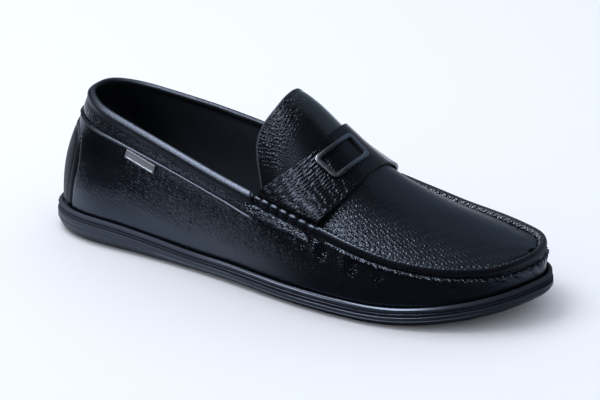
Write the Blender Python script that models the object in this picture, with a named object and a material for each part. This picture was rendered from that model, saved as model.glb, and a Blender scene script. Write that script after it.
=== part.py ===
"""Moc toe loafer for the right foot, standing empty on its sole.

Units are metres. The toe points along +X, the outer side of the foot is -Y and the inner side +Y, and
the floor is Z = 0. Every piece is worked out from one last: a sole outline, a top edge that is the collar
behind and the toe seam in front, and a spine over the instep. Each row of a table is one section of that
last, from heel to toe.
"""

import math
from collections import namedtuple

import bmesh
import bpy
import numpy as np

MM = 0.001

# Driving sizes of the last.
LENGTH = 300 * MM  # outsole, heel to toe
BALL_WIDTH = 102 * MM  # outsole across the ball of the foot
COLLAR_HEIGHT = 79.5 * MM  # back of the collar above the floor
INSTEP_HEIGHT = 99 * MM  # top of the tongue above the floor

# Sole.
HEEL_THICKNESS = 12.8 * MM  # floor to the widest line of the sole wall
FORE_THICKNESS = 7.6 * MM
TAPER_START, TAPER_END = 0.12, 0.40  # shares of the length where the sole thins
ARCH_RISE = 0.6 * MM
ARCH_START, ARCH_END = 0.31, 0.57
TOE_SPRING = 12 * MM
SPRING_START = 0.72
BED_RISE = 0.3 * MM  # footbed above the widest line
INSOLE_THICKNESS = 3 * MM

# Leather.
GAP = 0.3 * MM  # clearance between pieces that meet
STRAP_SEAT = 0.5 * MM  # clearance under the strap, which crosses a twisted surface
HEEL_STRIP_SEAT = 0.5 * MM  # clearance under the heel strip, which wraps a curved wall
WALL_THICKNESS = 2.2 * MM  # upper with its lining
WALL_INSET = 3.7 * MM  # upper's outer face inside the widest line of the sole
PLUG_THICKNESS = 2 * MM
RIDGE_RADIUS = 2.4 * MM
BINDING_RADIUS = 2.1 * MM
STRAP_THICKNESS = 1.8 * MM
STRAP_END_THICKNESS = 1.4 * MM
HEEL_STRIP_THICKNESS = 1.3 * MM
# From the sole up to the collar band: share of the wall's height, half width in mm.
HEEL_STRIP_EDGE = [(0.07, 38.5), (0.32, 41.5), (0.61, 41.0), (0.72, 35.0), (0.80, 24.0)]
STRAP_END_ROWS = 6.75, 8.2  # sections between which the strap's ends lie under the ridge
STRAP_END_RISE = 0.86, 0.97
CREST_SHIFT = 0.14  # the instep's crest lies towards the inner side
ARCH_POWER = 2.2  # roundness of the apron and tongue across the foot

# Hard trim.
FRAME_ACROSS, FRAME_ALONG = 30 * MM, 17 * MM
FRAME_BAR = 3.2 * MM
FRAME_CORNER = 4 * MM
FRAME_THICKNESS = 1.6 * MM
FRAME_STATION, FRAME_SIDE = 0.612, -0.12
TAG_LENGTH, TAG_HEIGHT, TAG_THICKNESS = 21.5 * MM, 5.2 * MM, 0.9 * MM
TAG_CORNER = 1.2 * MM
TAG_STATION, TAG_RISE = 3.67, 0.77

# Sole outline: shares of the length and of the ball width.
OutlineRow = namedtuple("OutlineRow", "along lateral medial")
OUTLINE = [
    OutlineRow(0.000, 0.000, 0.000),
    OutlineRow(0.016, 0.222, 0.211),
    OutlineRow(0.066, 0.331, 0.320),
    OutlineRow(0.172, 0.378, 0.353),
    OutlineRow(0.272, 0.388, 0.331),
    OutlineRow(0.372, 0.414, 0.315),
    OutlineRow(0.472, 0.459, 0.325),
    OutlineRow(0.572, 0.508, 0.366),
    OutlineRow(0.672, 0.531, 0.425),
    OutlineRow(0.766, 0.514, 0.466),
    OutlineRow(0.856, 0.430, 0.445),
    OutlineRow(0.922, 0.312, 0.366),
    OutlineRow(0.969, 0.164, 0.245),
    OutlineRow(0.991, 0.044, 0.138),
    OutlineRow(1.000, -0.049, 0.049),
]

# Top edge: collar and toe seam. Height is a share of the collar height, drop is how much lower the inner
# side lies, lean shapes how the wall tips in, and bulge is how far its middle stands out. Drop and bulge are
# in millimetres.
TopRow = namedtuple("TopRow", "along lateral medial height drop lean bulge")
TOP_EDGE = [
    TopRow(0.066, 0.000, 0.000, 0.994, 0.0, 2.0, 0.6),
    TopRow(0.077, 0.108, 0.104, 0.991, 0.0, 2.0, 0.8),
    TopRow(0.109, 0.192, 0.174, 0.971, 0.3, 2.0, 1.2),
    TopRow(0.172, 0.264, 0.225, 0.931, 0.6, 1.9, 1.6),
    TopRow(0.256, 0.322, 0.263, 0.877, 0.8, 1.8, 1.8),
    TopRow(0.339, 0.369, 0.293, 0.814, 1.0, 1.7, 1.8),
    TopRow(0.422, 0.410, 0.316, 0.747, 1.2, 1.6, 1.8),
    TopRow(0.506, 0.445, 0.335, 0.684, 1.5, 1.5, 1.8),
    TopRow(0.589, 0.476, 0.359, 0.621, 1.8, 1.5, 1.8),
    TopRow(0.689, 0.490, 0.390, 0.531, 2.2, 1.4, 1.6),
    TopRow(0.779, 0.459, 0.409, 0.452, 2.0, 1.3, 1.3),
    TopRow(0.856, 0.381, 0.396, 0.411, 1.4, 1.2, 0.9),
    TopRow(0.916, 0.269, 0.333, 0.400, 0.7, 1.2, 0.6),
    TopRow(0.956, 0.133, 0.227, 0.406, 0.2, 1.2, 0.4),
    TopRow(0.972, -0.054, 0.054, 0.412, 0.0, 1.2, 0.4),
]

# Spine of the apron and tongue: share of the length, and of the instep height.
SpineRow = namedtuple("SpineRow", "along height")
SPINE = [
    SpineRow(0.439, 1.040),
    SpineRow(0.489, 0.996),
    SpineRow(0.539, 0.914),
    SpineRow(0.589, 0.793),
    SpineRow(0.639, 0.672),
    SpineRow(0.699, 0.562),
    SpineRow(0.779, 0.470),
    SpineRow(0.879, 0.392),
    SpineRow(0.972, 0.340),
]

# Edges across the instep, as shares of the length at the crest and at the seam. The belly is how far the
# edge swings back between them.
EdgeRow = namedtuple("EdgeRow", "crest seam power belly")
TONGUE_BACK = EdgeRow(0.488, 0.502, 6, 0.014)
STRAP_BACK = EdgeRow(0.578, 0.502, 2.3, 0)
STRAP_FRONT = EdgeRow(0.655, 0.632, 3, 0)
STRAP_REACH = 0.93  # share of the arch that the strap covers on each side
SEAM_START = 6.9  # section where the collar binding ends and the toe ridge begins

# Profile of the sole wall from the floor up: inset from the widest line, share of the height to that line,
# and rise above it.
ProfileRow = namedtuple("ProfileRow", "inset share rise")
SOLE_WALL = [
    ProfileRow(5.0 * MM, 0.00, 0.0),
    ProfileRow(3.0 * MM, 0.07, 0.0),
    ProfileRow(1.4 * MM, 0.28, 0.0),
    ProfileRow(0.4 * MM, 0.62, 0.0),
    ProfileRow(0.0 * MM, 1.00, 0.0),
    ProfileRow(0.4 * MM, 1.00, 1.2 * MM),
    ProfileRow(1.2 * MM, 1.00, 2.6 * MM),
    ProfileRow(2.2 * MM, 1.00, 3.2 * MM),
    ProfileRow(3.2 * MM, 1.00, 2.9 * MM),
]

# Surface finishes: colour, roughness and metallic value.
Finish = namedtuple("Finish", "colour roughness metallic")
LEATHER = Finish((0.010, 0.011, 0.014), 0.45, 0)
LINING = Finish((0.008, 0.008, 0.010), 0.80, 0)
RUBBER = Finish((0.012, 0.013, 0.016), 0.55, 0)
GUNMETAL = Finish((0.070, 0.075, 0.085), 0.40, 1)
SILVER = Finish((0.500, 0.510, 0.530), 0.35, 1)

# Fineness of the meshes.
DIVISIONS = 4  # steps round the shoe between two sections
WALL_LEVELS = 8
PLUG_STATIONS, PLUG_COLUMNS = 25, 19
STRAP_STATIONS, STRAP_COLUMNS = 7, 25
STRAP_END_STATIONS, STRAP_END_LEVELS = 8, 3
HEEL_STRIP_STATIONS, HEEL_STRIP_LEVELS = 33, 11
RIDGE_STATIONS, BINDING_STATIONS = 28, 24
SOLE_COLUMNS, INSOLE_COLUMNS = 4, 3
CORNER_STEPS, FRAME_SIDE_STEPS, TAG_SIDE_STEPS = 3, 6, 4
SHARP_EDGE = math.radians(35)

# Small steps for slopes of the surfaces, and how near to a surface's own edge its slope is taken.
TINY = 0.01 * MM
STEP_ROW, STEP_SHARE = 0.01, 0.001
EDGE_SHARE = 0.002
TOE_MARGIN = 0.05  # the apron stops this share of a section short of the toe

LAST_ROW = len(OUTLINE) - 1


def spline_slopes(knots, points, closed):
    """Slopes at the knots of the smooth cubic through the points."""
    count = len(points)
    step = np.diff(knots)
    following = np.roll(points, -1, axis=0) if closed else points[1:]
    pull = 3 * (following - points[: len(step)]) / step[:, None] ** 2
    matrix = np.zeros((count, count))
    right = np.zeros_like(points)
    for i in range(len(step)):
        j = (i + 1) % count
        for near, far in ((i, j), (j, i)):
            matrix[near, near] += 2 / step[i]
            matrix[near, far] += 1 / step[i]
            right[near] += pull[i]
    return np.linalg.solve(matrix, right)


def spline(knots, points, at, closed=False):
    """Points at the parameters on the smooth cubic; a closed one has one knot more than points."""
    knots = np.asarray(knots, float)
    points = np.asarray(points, float)
    at = np.asarray(at, float)
    if closed:
        at = (at - knots[0]) % (knots[-1] - knots[0]) + knots[0]
    slopes = spline_slopes(knots, points, closed)
    i = np.clip(np.searchsorted(knots, at, side="right") - 1, 0, len(knots) - 2)
    j = (i + 1) % len(points)
    step = (knots[i + 1] - knots[i])[:, None]
    t = (at - knots[i])[:, None] / step
    start = (2 * t**3 - 3 * t**2 + 1) * points[i] + (t**3 - 2 * t**2 + t) * slopes[i] * step
    end = (3 * t**2 - 2 * t**3) * points[j] + (t**3 - t**2) * slopes[j] * step
    return start + end


def around(rows):
    """Values of table rows all round the shoe: heel, outer side, toe and the inner side."""
    return np.array(list(rows) + list(rows[-2:0:-1]), float)


def side_points(table):
    """Plan points of a table all round the shoe, in metres from the back of the heel."""
    lateral = [(row.along * LENGTH, -row.lateral * BALL_WIDTH) for row in table]
    medial = [(row.along * LENGTH, row.medial * BALL_WIDTH) for row in table]
    lateral[-1] = medial[-1]
    return np.array(lateral + medial[-2:0:-1])


OUTLINE_POINTS = side_points(OUTLINE)
CHORDS = np.linalg.norm(np.roll(OUTLINE_POINTS, -1, axis=0) - OUTLINE_POINTS, axis=1)
KNOTS = np.concatenate([[0], np.cumsum(CHORDS)])
GIRTH = KNOTS[-1]


def at_row(row, medial=False):
    """Parameter round the shoe at a row number, which may lie between two rows."""
    numbers = np.arange(LAST_ROW + 1)
    outer = np.interp(row, numbers, KNOTS[: LAST_ROW + 1])
    inner = np.interp(row, numbers, KNOTS[LAST_ROW:][::-1])
    return inner if medial else outer


def row_at(along, table):
    """Row number of a share of the length."""
    return np.interp(along, [row.along for row in table], np.arange(len(table)))


def loop(divisions):
    """Parameters all round the shoe, with each stretch between rows cut in equal parts."""
    rows = np.arange(LAST_ROW * divisions) / divisions
    return np.concatenate([at_row(rows), at_row(rows + 1 / divisions, medial=True)[::-1]])


def normals_2d(curve, s):
    """Outward directions in plan of a closed curve that runs from the heel along the outer side."""
    tangent = curve(s + TINY) - curve(s - TINY)
    outward = np.column_stack([tangent[:, 1], -tangent[:, 0]])
    return outward / np.linalg.norm(outward, axis=1, keepdims=True)


def outline(s):
    return spline(KNOTS, OUTLINE_POINTS, s, closed=True)


TOP_HEIGHTS = around([row.height * COLLAR_HEIGHT for row in TOP_EDGE])
TOP_HEIGHTS[LAST_ROW:] -= np.array([row.drop * MM for row in TOP_EDGE[:0:-1]])
TOP_POINTS = np.column_stack([side_points(TOP_EDGE), TOP_HEIGHTS])
WALL_SHAPE = around([(row.lean, row.bulge * MM) for row in TOP_EDGE])


def top_edge(s):
    return spline(KNOTS, TOP_POINTS, s, closed=True)


def smooth_step(value, start, end):
    t = np.clip((value - start) / (end - start), 0, 1)
    return t * t * (3 - 2 * t)


def floor_clearance(x):
    """Height of the sole's underside: flat under heel and ball, raised at the arch and the toe."""
    along = x / LENGTH
    arch = np.clip((along - ARCH_START) / (ARCH_END - ARCH_START), 0, 1)
    spring = np.clip((along - SPRING_START) / (1 - SPRING_START), 0, 1)
    return ARCH_RISE * np.sin(math.pi * arch) ** 2 * (arch < 1) + TOE_SPRING * spring**2


def line_height(x):
    """Height of the widest line of the sole."""
    taper = smooth_step(x / LENGTH, TAPER_START, TAPER_END)
    return floor_clearance(x) + HEEL_THICKNESS + (FORE_THICKNESS - HEEL_THICKNESS) * taper


def bed_height(x):
    return line_height(x) + BED_RISE


def sole_ring(s, row):
    """One ring of the sole's wall."""
    line = outline(s)
    plan = line - normals_2d(outline, s) * row.inset
    base = floor_clearance(plan[:, 0])
    height = base + (line_height(line[:, 0]) - base) * row.share + row.rise
    return np.column_stack([plan, height])


def wall_surface(s, v):
    """Outer face of the upper: s runs round the shoe, v from the sole at 0 to the top edge at 1."""
    out = normals_2d(outline, s)
    foot = outline(s) - out * WALL_INSET
    foot_height = bed_height(foot[:, 0]) + GAP
    top = top_edge(s)
    top_out = normals_2d(lambda at: top_edge(at)[:, :2], s)
    head = top[:, :2] + top_out * WALL_THICKNESS / 2
    head_height = top[:, 2] - RIDGE_RADIUS - GAP
    lean, bulge = spline(KNOTS, WALL_SHAPE, s, closed=True).T
    plan = foot + (head - foot) * (v**lean)[:, None] + out * (bulge * np.sin(math.pi * v) ** 2)[:, None]
    return np.column_stack([plan, foot_height + (head_height - foot_height) * v])


def spine_height(x):
    knots = [row.along * LENGTH for row in SPINE]
    heights = [[row.height * INSTEP_HEIGHT] for row in SPINE]
    return spline(knots, heights, x)[:, 0]


def plug_surface(row, side):
    """Outer face of apron and tongue at a section; side is -1 at the outer seam and 1 at the inner one."""
    edges = []
    for medial in (False, True):
        s = at_row(row, medial)
        seam = top_edge(s)
        out = normals_2d(lambda at: top_edge(at)[:, :2], s)
        seam[:, :2] -= out * (RIDGE_RADIUS + GAP)
        edges.append(seam)
    share = (side[:, None] + 1) / 2
    chord = edges[0] * (1 - share) + edges[1] * share
    crown = np.maximum(spine_height(chord[:, 0]) - chord[:, 2], 0)
    reach = np.where(side > CREST_SHIFT, 1 - CREST_SHIFT, 1 + CREST_SHIFT)
    chord[:, 2] += crown * (1 - np.abs((side - CREST_SHIFT) / reach) ** ARCH_POWER)
    return chord


def lifted(surface, u, v, distance, step_u, step_v):
    """Points of a surface moved along its normal."""
    du = surface(u + step_u, v) - surface(u - step_u, v)
    dv = surface(u, v + step_v) - surface(u, v - step_v)
    normal = np.cross(du, dv)
    normal /= np.linalg.norm(normal, axis=1, keepdims=True)
    return surface(u, v) + normal * distance


def on_wall(s, v, distance):
    v = np.clip(v, EDGE_SHARE, 1 - EDGE_SHARE)
    return lifted(wall_surface, s, v, distance, TINY, STEP_SHARE)


def on_plug(row, side, distance):
    side = np.clip(side, EDGE_SHARE - 1, 1 - EDGE_SHARE)
    row = np.minimum(row, LAST_ROW - TOE_MARGIN)
    return lifted(plug_surface, row, side, distance, STEP_ROW, STEP_SHARE)


def grid(first, second):
    """Two flat arrays for every pair of values, with the number of rows and columns."""
    a, b = np.meshgrid(first, second, indexing="ij")
    return a.ravel(), b.ravel(), (len(first), len(second))


def new_material(name, finish):
    material = bpy.data.materials.new(name)
    material.use_nodes = True
    shader = material.node_tree.nodes["Principled BSDF"]
    shader.inputs["Base Color"].default_value = (*finish.colour, 1)
    shader.inputs["Roughness"].default_value = finish.roughness
    shader.inputs["Metallic"].default_value = finish.metallic
    return material


def link_object(name, data, finish):
    data.materials.append(new_material(name, finish))
    obj = bpy.data.objects.new(name, data)
    bpy.context.scene.collection.objects.link(obj)


def add_solid(name, points, faces, finish):
    """A closed mesh centred on the sole, with its faces pointing out."""
    mesh = bpy.data.meshes.new(name)
    mesh.from_pydata((points - ORIGIN).tolist(), [], faces)
    solid = bmesh.new()
    solid.from_mesh(mesh)
    bmesh.ops.recalc_face_normals(solid, faces=solid.faces)
    if solid.calc_volume(signed=True) < 0:
        bmesh.ops.reverse_faces(solid, faces=solid.faces)
    solid.to_mesh(mesh)
    solid.free()
    mesh.shade_smooth()
    mesh.set_sharp_from_angle(angle=SHARP_EDGE)
    link_object(name, mesh, finish)


def quads(shape, closed, start=0, flip=False):
    """Faces of a grid of points whose first direction may close on itself."""
    rows, columns = shape
    faces = []
    for i in range(rows if closed else rows - 1):
        for j in range(columns - 1):
            k = (i + 1) % rows
            face = [i * columns + j, k * columns + j, k * columns + j + 1, i * columns + j + 1]
            faces.append([start + n for n in (face[::-1] if flip else face)])
    return faces


def edge_strip(near, far, closed):
    """Faces that join two rows of points."""
    count = len(near)
    steps = [(i, (i + 1) % count) for i in range(count if closed else count - 1)]
    return [[near[i], near[j], far[j], far[i]] for i, j in steps]


def sheet(name, outer, inner, shape, finish, closed=False):
    """A solid between an outer and an inner grid of points. Closed in its first direction it is a band."""
    rows, columns = shape
    start = rows * columns
    faces = quads(shape, closed) + quads(shape, closed, start, flip=True)
    low = [i * columns for i in range(rows)]
    high = [i * columns + columns - 1 for i in range(rows)]
    for side in (low, high):
        faces += edge_strip(side, [n + start for n in side], closed)
    if not closed:
        for i in (0, rows - 1):
            ends = [i * columns + j for j in range(columns)]
            faces += edge_strip(ends, [n + start for n in ends], False)
    add_solid(name, np.vstack([outer, inner]), faces, finish)


def across_cap(ring, first, points, height, columns):
    """Fills a ring with lines from its outer to its inner side. Returns the added points and the faces."""
    half = len(ring) // 2
    added, faces = [], []
    lines = [[first]]
    for k in range(1, half):
        left, right = ring[k], ring[-k]
        line = [first + k]
        for j in range(1, columns):
            spot = left + (right - left) * j / columns
            line.append(points + len(added))
            added.append([spot[0], spot[1], height(np.array([spot[0]]))[0]])
        lines.append(line + [first + len(ring) - k])
    lines.append([first + half])
    for a, b in zip(lines, lines[1:]):
        if len(a) == 1 or len(b) == 1:
            point, line = (a[0], b) if len(a) == 1 else (b[0], a)
            faces += [[point, line[j], line[j + 1]] for j in range(len(line) - 1)]
        else:
            faces += [[a[j], b[j], b[j + 1], a[j + 1]] for j in range(len(a) - 1)]
    return added, faces


def ring_solid(name, rings, low_height, high_height, columns, finish):
    """A solid from rings stacked between a bottom and a top that are filled across."""
    count = len(rings[0])
    points = np.vstack(rings)
    faces = []
    for level in range(len(rings) - 1):
        lower = [level * count + i for i in range(count)]
        faces += edge_strip(lower, [n + count for n in lower], True)
    ends = (rings[0], 0, low_height), (rings[-1], len(points) - count, high_height)
    for ring, first, height in ends:
        added, cap = across_cap(ring, first, len(points), height, columns)
        points = np.vstack([points, added])
        faces += cap
    add_solid(name, points, faces, finish)


def rolled_edge(name, s, radius):
    """A round roll of leather along the top edge."""
    path = top_edge(s) - ORIGIN
    curve = bpy.data.curves.new(name, "CURVE")
    curve.dimensions = "3D"
    curve.bevel_depth = radius
    curve.bevel_resolution = 2
    curve.use_fill_caps = True
    line = curve.splines.new("POLY")
    line.points.add(len(path) - 1)
    for point, spot in zip(line.points, path):
        point.co = (*spot, 1)
    link_object(name, curve, LEATHER)


def rounded_rectangle(length, height, corner, side_steps):
    """Closed outline of a plate with round corners, about its middle."""
    bends = []
    for quarter in range(4):
        centre_x = (length / 2 - corner) * (1 if quarter in (0, 3) else -1)
        centre_y = (height / 2 - corner) * (1 if quarter in (0, 1) else -1)
        turns = (quarter + np.linspace(0, 1, CORNER_STEPS + 1)) * math.pi / 2
        bend_x = centre_x + corner * np.cos(turns)
        bends.append(np.column_stack([bend_x, centre_y + corner * np.sin(turns)]))
    points = []
    for bend, following in zip(bends, bends[1:] + bends[:1]):
        shares = np.arange(1, side_steps)[:, None] / side_steps
        points += [bend, bend[-1] + (following[0] - bend[-1]) * shares]
    return np.vstack(points)


def make_outsole():
    """A cup sole: a wall with a rim, and a footbed sunk inside it."""
    s = loop(DIVISIONS)
    rings = [sole_ring(s, row) for row in SOLE_WALL]
    bed = rings[-1].copy()
    bed[:, 2] = bed_height(bed[:, 0])
    ring_solid("outsole", [*rings, bed], floor_clearance, bed_height, SOLE_COLUMNS, RUBBER)


def make_insole():
    s = loop(DIVISIONS)
    rise = INSOLE_THICKNESS + GAP
    height = wall_surface(s, np.ones_like(s))[:, 2] - wall_surface(s, np.zeros_like(s))[:, 2]
    line, out = outline(s), normals_2d(outline, s)
    inset = np.zeros_like(s)
    for share in (0, 0.5, 1):
        inside = on_wall(s, share * rise / height, -WALL_THICKNESS)[:, :2]
        inset = np.maximum(inset, ((line - inside) * out).sum(axis=1))
    plan = line - out * (inset + GAP)[:, None]
    low = np.column_stack([plan, bed_height(plan[:, 0]) + GAP])
    high = low + [0, 0, INSOLE_THICKNESS]

    def low_height(x):
        return bed_height(x) + GAP

    def high_height(x):
        return bed_height(x) + rise

    ring_solid("insole", [low, high], low_height, high_height, INSOLE_COLUMNS, LINING)


def make_upper():
    """The wall of the upper: one band, open at the top and underneath."""
    u, w, shape = grid(loop(DIVISIONS), np.linspace(0, 1, WALL_LEVELS))
    outer = wall_surface(u, w)
    inner = on_wall(u, w, -WALL_THICKNESS)
    for edge in (0, 1):
        inner[w == edge, 2] = outer[w == edge, 2]
    sheet("upper", outer, inner, shape, LEATHER, closed=True)


def edge_across(edge, side):
    """Share of the length where an edge across the instep crosses a line along it."""
    reach = np.abs(side)
    swing = edge.belly * np.sin(math.pi * reach**2) ** 2
    return edge.crest + (edge.seam - edge.crest) * reach**edge.power - swing


def instep_patch(start, end, sides, steps):
    """Rows and sides of a patch of the arch between two edges across it."""
    t, side, shape = grid(np.linspace(0, 1, steps), sides)
    first = row_at(edge_across(start, side), TOP_EDGE)
    last = row_at(edge_across(end, side), TOP_EDGE) if end else LAST_ROW
    return first + (last - first) * t, side, shape


def make_plug_tongue():
    """Apron and tongue in one piece."""
    sides = np.linspace(-1, 1, PLUG_COLUMNS)
    row, side, shape = instep_patch(TONGUE_BACK, None, sides, PLUG_STATIONS)
    row = np.minimum(row, LAST_ROW - TOE_MARGIN)
    outer = plug_surface(row, side)
    inner = on_plug(row, side, -PLUG_THICKNESS)
    sheet("plug_tongue", outer, inner, shape, LEATHER)


def make_strap():
    sides = np.linspace(-STRAP_REACH, STRAP_REACH, STRAP_COLUMNS)
    row, side, shape = instep_patch(STRAP_BACK, STRAP_FRONT, sides, STRAP_STATIONS)
    inner = on_plug(row, side, STRAP_SEAT)
    outer = on_plug(row, side, STRAP_SEAT + STRAP_THICKNESS)
    sheet("strap", outer, inner, shape, LEATHER)


def wall_patch(name, s, v, shape, thickness, seat=GAP):
    """An overlay that lies on the upper."""
    sheet(name, on_wall(s, v, seat + thickness), on_wall(s, v, seat), shape, LEATHER)


def make_strap_ends():
    rows = np.linspace(*STRAP_END_ROWS, STRAP_END_STATIONS)
    rise = np.linspace(*STRAP_END_RISE, STRAP_END_LEVELS)
    for name, medial in (("strap_end_lateral", False), ("strap_end_medial", True)):
        s, v, shape = grid(at_row(rows, medial), rise)
        wall_patch(name, s, v, shape, STRAP_END_THICKNESS)


def make_heel_strip():
    rise, half_width = np.transpose(HEEL_STRIP_EDGE)
    levels = np.linspace(rise[0], rise[-1], HEEL_STRIP_LEVELS)
    side, v, shape = grid(np.linspace(-1, 1, HEEL_STRIP_STATIONS), levels)
    s = side * np.interp(v, rise, half_width) * MM
    wall_patch("heel_strip", s, v, shape, HEEL_STRIP_THICKNESS, HEEL_STRIP_SEAT)


def make_rolled_edges():
    """The toe ridge from one side of the instep to the other, and the collar binding behind it."""
    rows = np.linspace(SEAM_START, LAST_ROW, RIDGE_STATIONS)
    toe = np.concatenate([at_row(rows), at_row(rows[-2::-1], medial=True)])
    rolled_edge("moc_ridge", toe, RIDGE_RADIUS)
    back = np.linspace(0, SEAM_START, BINDING_STATIONS)[1:]
    outer = at_row(back)
    outer[-1] -= GAP
    inner = at_row(back[::-1], medial=True)
    inner[0] += GAP
    rolled_edge("collar_binding", np.concatenate([inner, [GIRTH], outer + GIRTH]), BINDING_RADIUS)


def make_ornament():
    """A plain open frame that lies on the strap."""
    row, side = np.array([row_at(FRAME_STATION, TOP_EDGE)]), np.array([FRAME_SIDE])
    per_row = plug_surface(row + STEP_ROW, side) - plug_surface(row - STEP_ROW, side)
    per_side = plug_surface(row, side + STEP_SHARE) - plug_surface(row, side - STEP_SHARE)
    row_length = np.linalg.norm(per_row) / (2 * STEP_ROW)
    side_length = np.linalg.norm(per_side) / (2 * STEP_SHARE)
    seat = STRAP_SEAT + STRAP_THICKNESS + GAP
    rim = rounded_rectangle(FRAME_ALONG, FRAME_ACROSS, FRAME_CORNER, FRAME_SIDE_STEPS)
    opening = FRAME_ALONG - 2 * FRAME_BAR, FRAME_ACROSS - 2 * FRAME_BAR
    hole = rounded_rectangle(*opening, FRAME_CORNER - FRAME_BAR, FRAME_SIDE_STEPS)
    levels = []
    for edge, rise in ((rim, 0), (rim, FRAME_THICKNESS), (hole, FRAME_THICKNESS), (hole, 0)):
        edge_rows = row + edge[:, 0] / row_length
        levels.append(on_plug(edge_rows, side + edge[:, 1] / side_length, seat + rise))
    count = len(rim)
    faces = []
    for level in range(len(levels)):
        low = [level * count + i for i in range(count)]
        high = [(level + 1) % len(levels) * count + i for i in range(count)]
        faces += edge_strip(low, high, True)
    add_solid("ornament", np.vstack(levels), faces, GUNMETAL)


def make_side_tag():
    """A small bare plate on the outer quarter."""
    plate = rounded_rectangle(TAG_LENGTH, TAG_HEIGHT, TAG_CORNER, TAG_SIDE_STEPS)
    spot = np.array([at_row(TAG_STATION)])
    wall_height = np.linalg.norm(wall_surface(spot, np.ones(1)) - wall_surface(spot, np.zeros(1)))
    along = spot + plate[:, 0]
    rise = TAG_RISE + plate[:, 1] / wall_height
    levels = [on_wall(along, rise, GAP + lift) for lift in (0, TAG_THICKNESS)]
    low = list(range(len(plate)))
    high = [n + len(plate) for n in low]
    add_solid("side_tag", np.vstack(levels), [*edge_strip(low, high, True), low, high], SILVER)


def main():
    for obj in list(bpy.data.objects):
        bpy.data.objects.remove(obj)
    make_outsole()
    make_insole()
    make_upper()
    make_plug_tongue()
    make_rolled_edges()
    make_strap()
    make_strap_ends()
    make_heel_strip()
    make_ornament()
    make_side_tag()


SOLE_LINE = outline(loop(DIVISIONS))
ORIGIN = np.array([*(SOLE_LINE.min(axis=0) + SOLE_LINE.max(axis=0)) / 2, 0])
main()
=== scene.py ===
import math

import bpy
import numpy as np
from mathutils import Matrix, Vector


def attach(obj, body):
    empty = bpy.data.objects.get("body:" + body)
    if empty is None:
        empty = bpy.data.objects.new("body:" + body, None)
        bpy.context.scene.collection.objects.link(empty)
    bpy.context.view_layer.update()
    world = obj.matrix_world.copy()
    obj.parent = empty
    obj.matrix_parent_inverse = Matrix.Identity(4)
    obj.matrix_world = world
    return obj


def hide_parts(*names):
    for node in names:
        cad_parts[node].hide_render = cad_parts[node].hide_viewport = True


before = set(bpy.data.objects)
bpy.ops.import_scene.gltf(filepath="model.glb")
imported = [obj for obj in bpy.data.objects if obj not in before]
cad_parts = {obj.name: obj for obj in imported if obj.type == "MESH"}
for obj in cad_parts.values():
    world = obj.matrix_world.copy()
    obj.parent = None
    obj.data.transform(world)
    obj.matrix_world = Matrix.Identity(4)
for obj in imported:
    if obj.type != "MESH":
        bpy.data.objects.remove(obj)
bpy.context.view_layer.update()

mm = 0.001
print("frame loaded")


# The last, in the same sizes as the CAD: shares of its length and ball width, heel to toe
last = {
    "length": 300 * mm,
    "ballWidth": 102 * mm,
    "collarHeight": 79.5 * mm,
    "instepHeight": 99 * mm,
    "heelThickness": 12.8 * mm,
    "foreThickness": 7.6 * mm,
    "taper": (0.12, 0.40),
    "archRise": 0.6 * mm,
    "arch": (0.31, 0.57),
    "toeSpring": 12 * mm,
    "springStart": 0.72,
    "bedRise": 0.3 * mm,
    "rimRise": 3.2 * mm,
    "gap": 0.3 * mm,
    "wallInset": 3.7 * mm,
    "wallThickness": 2.2 * mm,
    "rollRadius": 2.4 * mm,
    "crestShift": 0.14,
    "archPower": 2.2,
    "seamStart": 6.9,  # section where the collar ends and the toe ridge begins
}
# along, lateral, medial
outlineRows = [
    (0.000, 0.000, 0.000), (0.016, 0.222, 0.211), (0.066, 0.331, 0.320), (0.172, 0.378, 0.353),
    (0.272, 0.388, 0.331), (0.372, 0.414, 0.315), (0.472, 0.459, 0.325), (0.572, 0.508, 0.366),
    (0.672, 0.531, 0.425), (0.766, 0.514, 0.466), (0.856, 0.430, 0.445), (0.922, 0.312, 0.366),
    (0.969, 0.164, 0.245), (0.991, 0.044, 0.138), (1.000, -0.049, 0.049),
]
# along, lateral, medial, share of the collar height, drop on the inner side, lean, bulge
topRows = [
    (0.066, 0.000, 0.000, 0.994, 0.0, 2.0, 0.6), (0.077, 0.108, 0.104, 0.991, 0.0, 2.0, 0.8),
    (0.109, 0.192, 0.174, 0.971, 0.3, 2.0, 1.2), (0.172, 0.264, 0.225, 0.931, 0.6, 1.9, 1.6),
    (0.256, 0.322, 0.263, 0.877, 0.8, 1.8, 1.8), (0.339, 0.369, 0.293, 0.814, 1.0, 1.7, 1.8),
    (0.422, 0.410, 0.316, 0.747, 1.2, 1.6, 1.8), (0.506, 0.445, 0.335, 0.684, 1.5, 1.5, 1.8),
    (0.589, 0.476, 0.359, 0.621, 1.8, 1.5, 1.8), (0.689, 0.490, 0.390, 0.531, 2.2, 1.4, 1.6),
    (0.779, 0.459, 0.409, 0.452, 2.0, 1.3, 1.3), (0.856, 0.381, 0.396, 0.411, 1.4, 1.2, 0.9),
    (0.916, 0.269, 0.333, 0.400, 0.7, 1.2, 0.6), (0.956, 0.133, 0.227, 0.406, 0.2, 1.2, 0.4),
    (0.972, -0.054, 0.054, 0.412, 0.0, 1.2, 0.4),
]
# along, share of the instep height
spineRows = [
    (0.439, 1.040), (0.489, 0.996), (0.539, 0.914), (0.589, 0.793), (0.639, 0.672),
    (0.699, 0.562), (0.779, 0.470), (0.879, 0.392), (0.972, 0.340),
]
toeRow = len(outlineRows) - 1


def unit(rows):
    return rows / np.linalg.norm(rows, axis=1, keepdims=True)


def bell(value, width=1):
    return np.exp(-((value / width) ** 2))


def easeIn(value, start, end):
    t = np.clip((value - start) / (end - start), 0, 1)
    return t * t * (3 - 2 * t)


def runLength(line):
    # distance along a line of points
    return np.concatenate([[0], np.cumsum(np.linalg.norm(np.diff(line, axis=0), axis=1))])


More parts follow.
